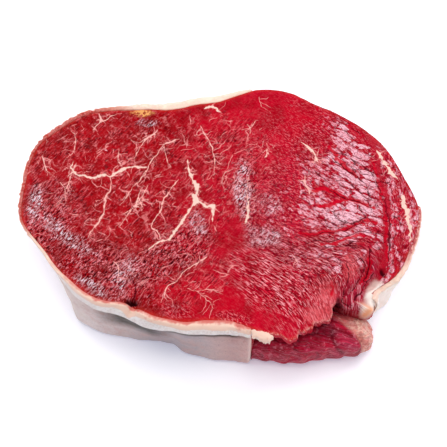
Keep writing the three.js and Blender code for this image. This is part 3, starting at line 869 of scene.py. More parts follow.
def buildLean(material):
    # The cut face is a square grid laid on a disc and stretched to the rim, raised by its
    # relief. Rings of the joint's own outside go down from its edge to the table, less the
    # thickness of the fat, and the underside closes on a point
    columns, rows = lean["columns"], lean["rows"]
    a, b = discGrid(columns, rows)
    share = np.hypot(a, b)
    degrees = np.degrees(np.arctan2(b, a)) % 360
    rim = edgeAt(degrees) - lean["seamGap"] * np.clip(fatAt(degrees), 0, 1)
    x = share * rim * np.cos(np.radians(degrees)) + joint["centre"][0]
    y = share * rim * np.sin(np.radians(degrees)) + joint["centre"][1]
    inward = (1 - share) * rim
    height = faceHeight(degrees, share)
    seen = sightLine(y, height)
    looks = faceLooks(x, seen, degrees, share, rim)
    looks["inward"] = inward
    looks["lipEdge"] = bell(inward / 0.8) * ease((degrees - 285) / 2) * ease((320 - degrees) / 2)
    height = height + flapRelief(x, seen)
    height = height + lean["lumpHeight"] * looks["swollen"] - lean["cavityDepth"] * looks["cavity"]
    height = height - lean["cutDepth"] * bell(np.maximum(looks["cut"], 0) / 0.5)
    height = height - lean["channelDepth"] * ease(0.5 - looks["channel"])
    height = height + lean["threadHeight"] * ease(0.6 - looks["vein"])
    height = height + 0.22 * noise(x / 3.1, y / 3.1, 3)
    height = height + 0.12 * (0.3 + looks["speckle"]) * noise(x / 1.5, y / 1.5, 4)
    fibre = noise(looks["along"] / 12, looks["across"] / 1.7, 5)
    height = height + lean["fibreHeight"] * looks["fibres"] * fibre
    rounding = np.clip(1 - inward / lean["rimRound"], 0, 1)
    height = height - (0.45 - 0.25 * np.sin(np.radians(degrees))) * rounding**2

    top = np.stack([x, y, height], -1).reshape(-1, 3)
    topFaces = gridFaces(rows, columns)[:, ::-1]
    index = np.arange(rows * columns).reshape(rows, columns)
    ring = np.concatenate([index[0, :-1], index[:-1, -1], index[-1, :0:-1], index[:0:-1, 0]])
    ringDegrees = degrees.ravel()[ring]
    ringTop = top[ring, 2]
    below = ease(np.linspace(0, 1, lean["sideRows"] + 1)[1:, None] ** 0.8)
    z = ringTop * (1 - below)
    fat = fatAt(ringDegrees)
    r = outerRadius(ringDegrees, z) - fat - lean["seamGap"] * np.clip(fat, 0, 1)
    side = polar(ringDegrees, r, z)

    # The bare side at the front right carries on the face's marks and folds. The other bare
    # sides have shallow furrows instead
    front = ease((ringDegrees - 284) / 2) * ease((331 - ringDegrees) / 2)
    sideSeen = sightLine(side[..., 1], z)
    arc = np.radians(ringDegrees) * 95  # mm round the side
    crumple = 0.7 * noise((arc + z) / 5, (arc - z) / 9, 95)
    crumple = crumple + 0.35 * noise((arc + z) / 2.2, (arc - z) / 4, 96)
    crumple = crumple + flapRelief(side[..., 0], sideSeen)
    furrows = 0.35 * noise((arc + 0.6 * z) / 9, (z - 0.25 * arc) / 2.4, 97)
    furrows = furrows * (1 - front) * (1 - np.clip(fat, 0, 1))
    side = polar(ringDegrees, r + ease(below / 0.15) * ease(z / 6) * (front * crumple + furrows), z)
    sideRim = edgeAt(ringDegrees) + 0 * z
    sideAway = np.hypot(side[..., 0] - joint["centre"][0], sideSeen - joint["centre"][1])
    sideShare = np.maximum(sideAway / sideRim, 1)
    sideLooks = faceLooks(side[..., 0], sideSeen, ringDegrees + 0 * z, sideShare, sideRim)
    sideLooks["inward"] = 9 + 0 * z  # mm, clear of the rim's own tint
    sideLooks["lipEdge"] = 0 * z
    middle = np.array([*joint["centre"], 0])
    floorRings = [side[-1] * (1, 1, 0) * s + middle * (1 - s) for s in (0.95, 0.6, 0.25)]
    lower = np.concatenate([side.reshape(-1, 3), *floorRings, [middle]])
    points = np.concatenate([top, lower])
    count = len(ring)
    first = len(top)
    deep = lean["sideRows"] + 3
    sideFaces = gridFaces(deep, count, wrap=True, start=first)
    after = np.roll(np.arange(count), -1)
    join = np.stack([ring, first + np.arange(count), first + after, ring[after]], -1)
    last = first + (deep - 1) * count
    tip = np.stack([last + np.arange(count), np.full(count, len(points) - 1), last + after], -1)

    # On the other upright sides the face's own marks are off, and the grain runs round, aslant
    lowerArc = np.append(np.tile(arc, deep), 0)
    sideValues = {name: farAway for name in ("vein", "branch", "twig", "cut", "channel")}
    sideValues["groove"] = 10 * farAway
    sideValues.update(fibres=0.45, grained=0.7, deep=0.5, threads=0.3)
    sideValues.update(along=lowerArc + 0.6 * lower[:, 2], across=lower[:, 2] - 0.25 * lowerArc)
    bare = np.concatenate([(front + 0 * z).ravel() > 0.5, np.zeros(len(lower) - z.size, bool)])
    fields = {}
    for name in leanFields:
        plain = np.broadcast_to(sideValues.get(name, 0.0), len(lower))
        marked = np.concatenate([sideLooks[name].ravel(), np.zeros(len(lower) - z.size)])
        fields[name] = np.concatenate([looks[name].ravel(), np.where(bare, marked, plain)])
    fields["face"] = np.concatenate([np.ones(len(top)), bare * 1.0])
    piece = makePiece("lean_cut", points, [topFaces, join, sideFaces, tip], fields, material)
    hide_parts("lean")


def rawLean():
    # Fresh cut raw beef: a moist, very saturated red cut face, with cream threads of fat, fine grain
    # embossed with painted highlights and painted shade, and grey pink bundles, partly a dried surface and
    # partly painted sheen, with dark lines between them
    material, tree, surface = newMaterial("raw lean beef, moist cut face")
    place = node(tree, "TexCoord", {}, "Object")
    field = {
        name: node(tree, "Attribute", {"attribute_name": name}, "Fac") for name in (*leanFields, "face")
    }
    amount = {}

    # Cells per metre, so 80 changes over 12 mm and 1000 over about 1 mm
    clouds = noises(tree, place, (
        ("slow", 80.0, 3.0, 0.38, 0.62), ("pools", 170.0, 3.0, 0.44, 0.56),
        ("middle", 260.0, 2.0, 0.38, 0.62), ("fine", 850.0, 2.0, 0.42, 0.6),
        ("jagged", 560.0, 3.0, 0.4, 0.6),
    ))

    # Streaks run along the grain: the length and width of a cell, its bend, and the values that become 0
    # and 1. The high parts are the light set, pale grain and fat with painted glints in the grit, fuller in
    # the painted sheen patches, and the low parts the dark set beside it, painted shade, so that each pair
    # reads as fine relief. The threads and grit at the left run straight, at their own turn, with cells in
    # metres, and the others follow the grain's coordinates, in mm. Real grain is finer than the picture can
    # show, so each streak is drawn about 0.5 mm wide
    turned = node(
        tree, "VectorRotate", {"rotation_type": "Z_AXIS", "Vector": place, "Angle": -np.radians(threadTurn)}
    )
    straight = node(tree, "SeparateXYZ", {0: turned}, 0), node(tree, "SeparateXYZ", {0: turned}, 1)
    grainWay = field["along"], field["across"]
    streaks = {}
    for name, way, long, wide, bent, low, high in (
        ("thread", straight, 0.0038, 0.00075, 0.6, 0.58, 0.63),
        ("grit", straight, 0.0024, 0.0008, 1.2, 0.57, 0.62),
        ("fibre", grainWay, 5.4, 0.62, 1.3, 0.54, 0.6), ("grain", grainWay, 2.0, 0.68, 0.8, 0.54, 0.61),
    ):
        wave = streak(tree, way, long, wide, bent, 1.2, 0.5)
        lifted = node(tree, "Math", {"operation": "MULTIPLY_ADD", 0: field["paintedSheen"], 1: 0.06, 2: wave})
        streaks[name + "Up"] = node(tree, "MapRange", {0: lifted, 1: low, 2: high, 3: 0.0, 4: 1.0})
        streaks[name + "Shade"] = node(tree, "MapRange", {0: wave, 1: 0.46, 2: 0.39, 3: 0.0, 4: 1.0})

    # A broken net of hair-thin threads of fat: cells per metre, and half the threads' width in mm
    flat = node(tree, "VectorMath", {"operation": "MULTIPLY", 0: place, 1: (1.0, 1.0, 0.0)})
    shift = node(
        tree, "TexNoise", {"Vector": place, "Scale": 330.0, "Detail": 3.0, "Roughness": 0.6}, "Color"
    )
    bent = node(
        tree, "VectorMath", {"operation": "MULTIPLY_ADD", 0: shift, 1: (0.007, 0.007, 0.0), 2: flat}
    )
    for name, perMetre, half, low, high in (
        ("net", 105.0, 0.17, 0.44, 0.56), ("fineNet", 230.0, 0.13, 0.48, 0.6)
    ):
        away = node(
            tree, "TexVoronoi", {"feature": "DISTANCE_TO_EDGE", "Vector": bent, "Scale": perMetre},
            "Distance"
        )
        edge = half * perMetre / 1000
        line = node(tree, "MapRange", {0: away, 1: edge * 0.5, 2: edge * 1.6, 3: 1.0, 4: 0.0})
        broken = node(tree, "MapRange", {0: clouds["middleRaw"], 1: low, 2: high, 3: 0.0, 4: 0.6})
        line = node(tree, "Math", {"operation": "MULTIPLY", 0: line, 1: broken})
        amount[name] = node(tree, "Math", {"operation": "MULTIPLY", 0: line, 1: field["threads"]})

    # Bundles of grain: each has its own tone, partly painted sheen, is lighter towards its middle, a
    # painted light that makes it look domed, and has a channel round it whose width changes by noise, with
    # a thin dark line where the channel is narrow. Those with the lowest tones don't show
    for name, widest, hidden, least in (("large", 1.6, 0.04, -0.36), ("small", 1.1, 0.3, -0.48)):
        width = node(tree, "MapRange", {0: clouds["middleRaw"], 1: 0.46, 2: 0.62, 3: 0.15, 4: widest})
        lack = node(tree, "MapRange", {0: field[name], 1: 0.1, 2: 0.9, 3: 6.0, 4: -0.2})
        lost = node(tree, "MapRange", {0: field[name + "Tone"], 1: hidden, 2: hidden + 0.1, 3: 1.8, 4: 0.0})
        gap = node(tree, "Math", {"operation": "MULTIPLY_ADD", 0: clouds["fineRaw"], 1: 1.3, 2: -0.65})
        gap = node(tree, "Math", {"operation": "ADD", 0: gap, 1: field[name + "Border"]})
        for less in (width, lack, lost):
            gap = node(tree, "Math", {"operation": "SUBTRACT", 0: gap, 1: less})
        amount[name] = node(tree, "MapRange", {0: gap, 1: -0.1, 2: 0.3, 3: 0.0, 4: 0.85})
        # Lighter towards the middle of each bundle: painted light that makes it look domed
        domeLight = node(tree, "MapRange", {0: gap, 1: 0.0, 2: 1.6, 3: 0.0, 4: 1.0})
        light = node(tree, "Math", {"operation": "MULTIPLY_ADD", 0: field[name + "Tone"], 1: 0.5, 2: least})
        for part, much in (
            (clouds["fine"], 0.15), (clouds["slow"], 0.35), (field["pale"], 0.25), (field[name], 0.35),
            (domeLight, 0.15), (streaks["grainUp"], 0.3), (streaks["grainShade"], -0.5),
        ):
            light = node(tree, "Math", {"operation": "MULTIPLY_ADD", 0: part, 1: much, 2: light})
        amount[name + "Tone"] = node(
            tree, "Mix", {"data_type": "RGBA", 0: light, 6: colour("#c41034"), 7: colour("#fecedb")}, 2
        )
        line = node(tree, "MapRange", {0: field[name + "Border"], 1: 0.15, 2: 0.45, 3: 0.75, 4: 0.0})
        narrow = node(tree, "MapRange", {0: width, 1: 0.25, 2: widest * 0.5, 3: 1.0, 4: 0.0})
        line = node(tree, "Math", {"operation": "MULTIPLY", 0: line, 1: narrow})
        amount[name + "Line"] = node(tree, "Math", {"operation": "MULTIPLY", 0: line, 1: field[name]})

    # Fine dark cracks in the pale bundles, partly dried and partly painted sheen: the borders of cells 3.6
    # mm along the grain and 1.9 mm across it, broken by noise
    run = node(tree, "Math", {"operation": "MULTIPLY", 0: field["along"], 1: 1 / 3.6})
    over = node(tree, "Math", {"operation": "MULTIPLY", 0: field["across"], 1: 1 / 1.9})
    spot = node(tree, "CombineXYZ", {0: run, 1: over, 2: 0.0})
    spot = node(tree, "VectorMath", {"operation": "MULTIPLY_ADD", 0: shift, 1: (1.6, 1.6, 0.0), 2: spot})
    away = node(
        tree, "TexVoronoi", {"feature": "DISTANCE_TO_EDGE", "Vector": spot, "Scale": 1.0}, "Distance"
    )
    line = node(tree, "MapRange", {0: away, 1: 0.03, 2: 0.1, 3: 0.75, 4: 0.0})
    broken = node(tree, "MapRange", {0: clouds["fineRaw"], 1: 0.44, 2: 0.52, 3: 0.0, 4: 1.0})
    line = node(tree, "Math", {"operation": "MULTIPLY", 0: line, 1: broken})
    bundled = node(tree, "Math", {"operation": "MAXIMUM", 0: field["large"], 1: field["small"]})
    amount["crack"] = node(tree, "Math", {"operation": "MULTIPLY", 0: line, 1: bundled})

    # How strongly each other layer of colour shows: a field times a share, plus a share
    # everywhere, all times a pattern
    for name, first, share, plus, pattern in (
        # The dark sets beside the light streaks are painted shade, and the grit's light set adds painted
        # glints
        ("threadUp", field["threads"], 0.42, 0.03, streaks["threadUp"]),
        ("threadShade", field["threads"], 0.8, 0.1, streaks["threadShade"]),
        ("grainUp", field["grained"], 0.36, 0.04, streaks["grainUp"]),
        ("grainShade", field["grained"], 0.6, 0.06, streaks["grainShade"]),
        ("fibreUp", field["fibres"], 0.8, 0.03, streaks["fibreUp"]),
        ("fibreShade", field["fibres"], 0.8, 0.05, streaks["fibreShade"]),
        ("gritUp", field["speckle"], 0.84, 0.02, streaks["gritUp"]),
        ("gritShade", field["speckle"], 0.84, 0.08, streaks["gritShade"]),
        ("deepRed", field["deep"], 0.8, 0.0, clouds["slow"]),
        ("membrane", field["face"], -0.4, 0.4, clouds["slow"]),
        ("lip", field["lip"], 0.85, 0.0, field["face"]),
        ("flap", field["flap"], 0.85, 0.0, field["face"]),
        ("flapPale", field["flap"], 0.65, 0.0, streaks["fibreUp"]),
        # The flap's dark streaks, on the fibres' dark set, are painted shade
        ("flapDark", field["flap"], 0.5, 0.0, streaks["fibreShade"]),
        ("lipEdge", field["lipEdge"], 0.8, 0.0, clouds["fine"]),
        ("yellow", field["yellow"], 1.5, 0.0, clouds["jagged"]),
        # The cavity and the hollows are painted near black: painted shade in them
        ("cavity", field["cavity"], 0.95, 0.0, field["face"]),
        ("hollow", field["hollow"], 0.9, 0.0, field["face"]),
        ("fatty", field["fatty"], 1.0, 0.0, field["face"]),
        ("amber", field["amber"], 0.9, 0.0, field["face"]),
    ):
        here = node(tree, "Math", {"operation": "MULTIPLY_ADD", 0: first, 1: share, 2: plus})
        amount[name] = node(tree, "Math", {"operation": "MULTIPLY", 0: here, 1: pattern})
    # The threads, grit and fibres keep only this share of themselves outside the pools, so
    # patches of the face stay smooth
    for name, least in (("gritUp", 0.4), ("threadUp", 0.25), ("threadShade", 0.3), ("fibreUp", 0.45)):
        gate = node(tree, "Math", {"operation": "MULTIPLY_ADD", 0: clouds["pools"], 1: 1 - least, 2: least})
        amount[name] = node(tree, "Math", {"operation": "MULTIPLY", 0: amount[name], 1: gate})
    # The grit's light set turns whitish lilac in the painted sheen patches: painted glints
    gritGlintTone = node(
        tree, "Mix", {"data_type": "RGBA", 0: field["paintedSheen"], 6: colour("#ee98a2"), 7: colour("#f2e6f0")}, 2
    )

    # The named threads: across them in half widths, jagged by noise, and the reach in mm past
    # which none shows
    for name, low, high, full, reach, rough in (
        ("vein", 0.75, 1.2, 0.95, 1.1, 4.2), ("branch", 0.8, 1.5, 0.95, 0.8, 4.0),
        ("twig", 1.0, 2.2, 0.8, 0.4, 2.4), ("cut", 0.7, 1.5, 0.85, 0.5, 1.2),
    ):
        away = node(tree, "Math", {"operation": "ABSOLUTE", 0: field[name + "Side"]})
        away = node(tree, "Math", {"operation": "MULTIPLY_ADD", 0: clouds["jaggedRaw"], 1: rough, 2: away})
        away = node(tree, "Math", {"operation": "SUBTRACT", 0: away, 1: rough / 2})
        line = node(tree, "MapRange", {0: away, 1: low, 2: high, 3: full, 4: 0.0})
        close = node(tree, "MapRange", {0: field[name], 1: reach * 0.6, 2: reach, 3: 1.0, 4: 0.0})
        amount[name] = node(tree, "Math", {"operation": "MULTIPLY", 0: line, 1: close})
    for name, source, low, high, full in (
        ("veinHalo", "vein", 0.1, 0.9, 0.35), ("channelBand", "channel", -0.3, 0.4, 0.9),
        ("rim", "inward", 0.3, 2.4, 0.5),
    ):
        moved = node(
            tree, "Math", {"operation": "MULTIPLY_ADD", 0: clouds["middleRaw"], 1: 0.8, 2: field[source]}
        )
        amount[name] = node(tree, "MapRange", {0: moved, 1: low + 0.4, 2: high + 0.4, 3: full, 4: 0.0})
    wobble = node(
        tree, "Math", {"operation": "MULTIPLY_ADD", 0: clouds["middleRaw"], 1: 3.0, 2: field["groove"]}
    )
    wobble = node(tree, "Math", {"operation": "SUBTRACT", 0: wobble, 1: 1.5})
    away = node(tree, "Math", {"operation": "ABSOLUTE", 0: wobble})
    band = node(tree, "MapRange", {0: away, 1: 0.8, 2: 3.2, 3: 0.35, 4: 0.0})
    amount["grooveBand"] = node(tree, "Math", {"operation": "MULTIPLY", 0: band, 1: field["face"]})

    # The left half is a deeper red than the rest, which leans to crimson. The change lies between
    # two places along X, in metres
    eastward = node(tree, "SeparateXYZ", {0: place}, 0)
    eastward = node(tree, "MapRange", {0: eastward, 1: -0.04, 2: 0.02, 3: 0.0, 4: 1.0})
    leftRed = node(
        tree, "Mix", {"data_type": "RGBA", 0: clouds["slow"], 6: colour("#8e0004"), 7: colour("#ae0010")}, 2
    )
    rightRed = node(
        tree, "Mix", {"data_type": "RGBA", 0: clouds["slow"], 6: colour("#aa0018"), 7: colour("#c8062a")}, 2
    )
    red = node(tree, "Mix", {"data_type": "RGBA", 0: eastward, 6: leftRed, 7: rightRed}, 2)
    red = layered(tree, red, amount, (
        ("deepRed", "#c2001e"), ("membrane", "#cc7c8a"), ("rim", "#d23c30"), ("lip", "#dc5058"),
        ("threadShade", "#500008"), ("threadUp", "#ee7c84"), ("grainShade", "#6c0418"),
        ("grainUp", "#f09aa2"), ("fineNet", "#de5c64"), ("net", "#ec8484"), ("fibreShade", "#66000c"),
        ("fibreUp", "#feb0b8"), ("gritUp", gritGlintTone), ("gritShade", "#2c0006"),
        ("small", amount["smallTone"]), ("large", amount["largeTone"]), ("crack", "#8a1230"),
        ("smallLine", "#600616"), ("largeLine", "#600616"), ("flap", "#b4223c"), ("flapPale", "#e8a4ae"),
        ("flapDark", "#4a0418"), ("channelBand", "#c80624"), ("fatty", "#fff4ea"), ("amber", "#ffaa74"),
        ("lipEdge", "#f4b4aa"), ("cut", "#4c0210"), ("grooveBand", "#b00626"), ("veinHalo", "#d83c44"),
        ("twig", "#f09c9a"), ("branch", "#f6bcb2"), ("vein", "#f6d6c6"), ("yellow", "#ecaa66"),
        ("cavity", "#24040a"), ("hollow", "#3a0612"),
    ))
    tree.links.new(red, surface.inputs["Base Color"])

    # Relief too fine for the mesh: grain ends, threads, fibres and the bundles' edges
    rise = node(tree, "Math", {"operation": "MULTIPLY", 0: clouds["fineRaw"], 1: 0.6})
    for name, much in (
        ("gritUp", 0.8), ("gritShade", -0.5), ("fibreUp", 0.5), ("fibreShade", -0.4), ("threadUp", 0.5),
        ("threadShade", -0.5), ("twig", 0.5), ("net", 0.4), ("large", 0.8), ("small", 0.6),
        ("flapPale", 0.6), ("largeLine", -0.6), ("smallLine", -0.5), ("cut", -0.9),
    ):
        rise = node(tree, "Math", {"operation": "MULTIPLY_ADD", 0: amount[name], 1: much, 2: rise})
    bump = node(tree, "Bump", {"Strength": 0.5, "Distance": 0.0005, "Height": rise})
    tree.links.new(bump, surface.inputs["Normal"])
    gloss = node(tree, "MapRange", {0: clouds["middle"], 1: 0.0, 2: 1.0, 3: 0.24, 4: 0.36})
    tree.links.new(gloss, surface.inputs["Roughness"])
    surface.inputs["Specular IOR Level"].default_value = 0.04
    surface.inputs["Specular Tint"].default_value = colour("#ff8c92")
    return material


# The fat cap and the side fat

fatRows = {"rim": 13, "collar": 25, "wall": 36, "inside": 10}  # points of a section
lit = -20  # mm, the shade of a place well out in the light
fatCap = {
    "span": (76.2, 283.3),
    "steps": 640,
    "proud": 0.3,
    "lipRound": 0.9,
    "endRound": 2.4,  # mm
    "endLift": (5.0, 6.0),  # the foot rises towards the ends: mm up, over mm
}
sideFat = {
    "span": (328.2, 362.0),
    "steps": 190,
    "proud": -0.6,
    "lipRound": 0.9,
    "endRound": 1.2,
    "endLift": (9.0, 7.0),
}


def buildFat(name, size, nodeName, material):
    # A band against the lean: for each angle a section goes across the cut rim, down the
    # outside, and back up the inside, and the run of sections is closed at both ends. The
    # outside is the joint's own, with its rows close together down to the fold, and noise
    degrees = np.linspace(*size["span"], size["steps"])[:, None]
    arc = np.radians(degrees) * edgeAt(degrees)  # mm along the band
    fromEnd = np.radians(np.minimum(degrees - size["span"][0], size["span"][1] - degrees)) * edgeAt(degrees)
    tuck = size["endRound"] * (1 - np.sqrt(1 - 0.9 * np.clip(1 - fromEnd / size["endRound"], 0, 1) ** 2))
    lift = size["endLift"][0] * np.clip(1 - fromEnd / size["endLift"][1], 0, 1) ** 2
    top = faceHeight(degrees, 1.0)
    fold = (
        openTable(joint["foldHeight"], degrees, hold=True)
        + 0.5 * noise(arc / 9, arc * 0, 71) + 0.3 * noise(arc / 4, arc * 0, 70)
    )
    lip = (
        top + size["proud"]
        + 0.3 * noise(arc / 6, arc * 0, 72) + 0.2 * noise(arc / 2.7, arc * 0, 73)
        - 0.5 * tuck
    )
    depth = fatAt(degrees)
    across = np.linspace(0, 1, fatRows["rim"])[None, :]
    ruffle = 0.3 * noise(arc / 7, arc * 0, 74) + 0.25 * noise(arc / 3, arc * 0, 75)
    ruffle = ruffle * np.clip(depth / 3, 0, 1)
    torn = ease((degrees - 128) / 10) * ease((196 - degrees) / 8)  # the left end's rim is torn
    ruffle = ruffle + torn * (0.5 * noise(arc / 2.4, arc * 0, 85) + 0.4 * noise(arc / 1.2, arc * 0, 86))
    rimR = (
        outerRadius(degrees, np.minimum(lip, top), fold)
        - depth * (1 - across) + (ruffle - tuck) * across
    )
    shoulder = np.clip((across - 0.5) / 0.5, 0, 1)
    sag = 0.2 * noise(arc / 4 + 0 * across, across * 3, 76) * np.sin(np.pi * across)
    rimZ = lip + sag - size["lipRound"] * (1 - np.sqrt(1 - shoulder**2 * 0.95))
    start, waist = rimZ[:, -1:], fold - 3.0
    outZ = np.concatenate([
        start + (waist - start) * np.linspace(0, 1, fatRows["collar"])[None, 1:],
        lift + (waist - lift) * (1 - np.linspace(0, 1, fatRows["wall"])[None, 1:]),
    ], 1)
    skin = 0.3 * noise(arc / 13, outZ / 7, 77)
    skin = skin + 0.12 * noise((arc + outZ) / 5, (outZ - 0.4 * arc) / 2.6, 78)
    skin = skin + 0.25 * noise(arc / 6, outZ / 2.4, 79) * ease((outZ - fold) / 1.0)
    outR = (
        outerRadius(degrees, outZ, fold) + ruffle * ease((outZ - fold) / 3)
        + skin * ease(outZ / 4) - tuck
    )
    # How far a place lies behind the collar's edge, less what a view from 60 degrees up sees beneath it
    # (mm): 0 where the wall comes out of the collar's shade. The painted shade under the collar is placed
    # by it
    tip = np.where(outZ > fold - 1, outR, 0).max(1, keepdims=True)
    shade = tip - outR - view["sightSlope"] * np.abs(np.sin(np.radians(degrees))) * (fold - outZ)
    shade = np.where(outZ > fold, lit, shade)
    inZ = lift + (top - lift) * np.linspace(0, 1, fatRows["inside"])[None, :]
    inR = outerRadius(degrees, inZ, fold) - depth + 0.5 * np.minimum(tuck, depth)
    r = np.concatenate([rimR, outR, inR[:, :-1]], 1)
    z = np.concatenate([rimZ, outZ, inZ[:, :-1]], 1)
    side = np.zeros_like(inR[:, :-1])
    points = polar(degrees, r, z).reshape(-1, 3)
    count = r.shape[1]
    faces = gridFaces(size["steps"], count, wrap=True)[:, ::-1]
    ends = np.stack([np.arange(count), (size["steps"] - 1) * count + np.arange(count)[::-1]])
    fields = {
        "rim": np.concatenate([np.ones_like(rimR), ease((outZ - start + 2.2) / 1.6), side + 1], 1).ravel(),
        "across": np.concatenate(
            [np.broadcast_to(across, rimR.shape), np.ones_like(outR), side], 1
        ).ravel(),
        "belowFold": (fold - z).ravel(),
        "shade": np.concatenate([rimR * 0 + lit, shade, side + lit], 1).ravel(),
        "height": z.ravel(),
        "angle": (degrees + np.zeros_like(r)).ravel(),
    }
    piece = makePiece(name, points, [faces, ends], fields, material)
    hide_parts(nodeName)


fatFields = ("rim", "across", "belowFold", "shade", "height", "angle")


def cutFat():
    # Raw beef fat: cream on the cut rim, pink where it meets the lean, and grey beige under the thin
    # membrane outside, which makes it look smooth, mottled and a little moist. On the front wall that grey
    # is partly painted shade, painted shade also lies under the collar, and the cap's rounded right end has
    # a painted highlight
    material, tree, surface = newMaterial("raw beef fat under thin membrane")
    place = node(tree, "TexCoord", {}, "Object")
    field = {name: node(tree, "Attribute", {"attribute_name": name}, "Fac") for name in fatFields}
    clouds = noises(tree, place, (
        ("slow", 70.0, 3.0, 0.38, 0.62), ("middle", 230.0, 2.0, 0.4, 0.62),
        ("fine", 700.0, 2.0, 0.4, 0.62), ("grit", 1100.0, 1.0, 0.6, 0.68),
        ("speck", 900.0, 1.0, 0.52, 0.6),
    ))

    # Stretches of the band by its angle, each easing in and out, and zones of it by their place
    # above and below the fold
    zone = {}
    for name, rise, full, fade, gone in (
        ("front", 196.0, 222.0, 310.0, 325.0), ("flank", 226.0, 242.0, 260.0, 274.0),
        ("right", 262.0, 276.0, 290.0, 300.0), ("left", 126.0, 138.0, 183.0, 190.0),
        ("wedge", 220.0, 228.0, 240.0, 251.0), ("line", 244.0, 252.0, 278.0, 286.0),
        ("corner", 327.0, 327.5, 328.6, 331.0), ("slab", 322.0, 326.0, 344.0, 352.0),
        ("farRight", 341.0, 348.0, 370.0, 380.0), ("rightEnd", 276.0, 281.0, 290.0, 300.0),
        ("tip", 281.4, 282.9, 290.0, 300.0), ("back", 70.0, 90.0, 122.0, 136.0),
        ("leftWall", 110.0, 150.0, 183.0, 196.0),
    ):
        up = node(tree, "MapRange", {0: field["angle"], 1: rise, 2: full, 3: 0.0, 4: 1.0})
        down = node(tree, "MapRange", {0: field["angle"], 1: fade, 2: gone, 3: 1.0, 4: 0.0})
        zone[name] = node(tree, "Math", {"operation": "MULTIPLY", 0: up, 1: down})
    # The wedge and the line are painted shade, growing from where the wall comes out of the collar's shade
    for name, source, low, high, one, two in (
        ("collar", "belowFold", 0.2, 0.7, 1.0, 0.0), ("wedgeShade", "shade", -2.8, -6.4, 1.0, 0.0),
        ("lineShade", "shade", -1.2, -2.6, 1.0, 0.0), ("below", "belowFold", 0.2, 0.6, 0.0, 1.0),
        ("lowCorner", "height", 14.0, 27.0, 1.0, 0.0),
    ):
        zone[name] = node(tree, "MapRange", {0: field[source], 1: low, 2: high, 3: one, 4: two})
    rimEdge = node(
        tree, "Math", {"operation": "MULTIPLY_ADD", 0: clouds["fineRaw"], 1: 1.0, 2: field["rim"]}
    )
    zone["rim"] = node(tree, "MapRange", {0: rimEdge, 1: 0.8, 2: 1.15, 3: 0.0, 4: 1.0})
    zone["inside"] = node(tree, "MapRange", {0: field["across"], 1: 0.55, 2: 0.85, 3: 1.0, 4: 0.0})
    # Pink runs into the rim from the lean, further where the noise is high
    soak = node(
        tree, "Math", {"operation": "MULTIPLY_ADD", 0: clouds["middleRaw"], 1: -1.8, 2: field["across"]}
    )
    zone["soaked"] = node(tree, "MapRange", {0: soak, 1: -0.7, 2: -0.2, 3: 1.0, 4: 0.0})
    zone["blush"] = node(tree, "Math", {"operation": "MULTIPLY", 0: clouds["slow"], 1: clouds["middle"]})

    masks = {**clouds, **zone}

    skin = node(
        tree, "Mix", {"data_type": "RGBA", 0: clouds["slow"], 6: colour("#f8ecdc"), 7: colour("#ecd2c0")}, 2
    )
    for parts, much, tint in (
        # The front wall's grey beige is partly the membrane and partly painted shade, darkest on the flank
        (("front",), 1.0, "#dccac6"), (("flank",), 0.9, "#a8989c"), (("right",), 0.9, "#be8884"),
        (("slab",), 0.9, "#fff0e4"), (("front", "slow"), 0.35, "#c8b0ac"), (("middle",), 0.2, "#ecd6ca"),
        (("front", "blush"), 0.45, "#c8948c"), (("grit", "front"), 0.35, "#8e7672"),
        (("front", "collar"), 0.92, "#fcf6f2"), (("front", "collar", "middle"), 0.3, "#d6c4be"),
        (("front", "collar", "speck"), 0.2, "#c09c94"),
        # Painted shade under the collar: a dark brown wedge with olive specks, and a thin dark line further
        # right
        (("wedge", "below", "wedgeShade"), 0.92, "#30261f"),
        (("wedge", "below", "wedgeShade", "speck"), 0.35, "#7d6a50"),
        (("line", "below", "lineShade"), 0.9, "#3a2810"), (("rightEnd", "below"), 0.35, "#e2bcb0"),
        (("rightEnd", "below", "middle"), 0.3, "#d8a09c"),
        # The cap's rounded right end gets a cream painted highlight
        (("rightEnd", "below", "speck"), 0.3, "#b0585c"), (("tip", "below"), 0.7, "#f0dcd0"),
        (("corner", "lowCorner"), 0.8, "#ea9a74"), (("rim",), 1.0, "#f6dac8"),
        (("rim", "back"), 0.7, "#fdf2dc"), (("rim", "front"), 0.4, "#f6cdb8"),
        (("rim", "soaked", "front"), 0.95, "#d05a58"), (("rim", "soaked"), 0.3, "#e29a86"),
        (("rim", "left"), 0.9, "#f2b48e"), (("rim", "left", "inside"), 0.95, "#c0221c"),
        (("rim", "left", "inside", "fine"), 0.5, "#7c0610"),
        (("rim", "left", "inside", "speck"), 0.5, "#f0988c"), (("leftWall", "middle"), 0.35, "#d8a49c"),
        (("leftWall", "speck"), 0.25, "#c07870"), (("farRight", "inside"), 0.85, "#be1c34"),
        (("farRight", "inside", "fine"), 0.5, "#7c0818"),
        (("farRight", "inside", "speck"), 0.7, "#f4bcb0"),
    ):
        amount = much
        for part in parts:
            amount = node(tree, "Math", {"operation": "MULTIPLY", 0: masks[part], 1: amount})
        skin = node(tree, "Mix", {"data_type": "RGBA", 0: amount, 6: skin, 7: colour(tint)}, 2)
    tree.links.new(skin, surface.inputs["Base Color"])
    rise = node(
        tree, "Math", {"operation": "MULTIPLY_ADD", 0: clouds["fineRaw"], 1: 0.6, 2: clouds["middleRaw"]}
    )
    bump = node(tree, "Bump", {"Strength": 0.35, "Distance": 0.0008, "Height": rise})
    tree.links.new(bump, surface.inputs["Normal"])
    gloss = node(tree, "MapRange", {0: clouds["middle"], 1: 0.0, 2: 1.0, 3: 0.34, 4: 0.5})
    tree.links.new(gloss, surface.inputs["Roughness"])
    surface.inputs["Specular IOR Level"].default_value = 0.3
    surface.inputs["Subsurface Weight"].default_value = 0.15
    surface.inputs["Subsurface Radius"].default_value = (1.0, 0.6, 0.4)
    surface.inputs["Subsurface Scale"].default_value = 0.0015
    return material


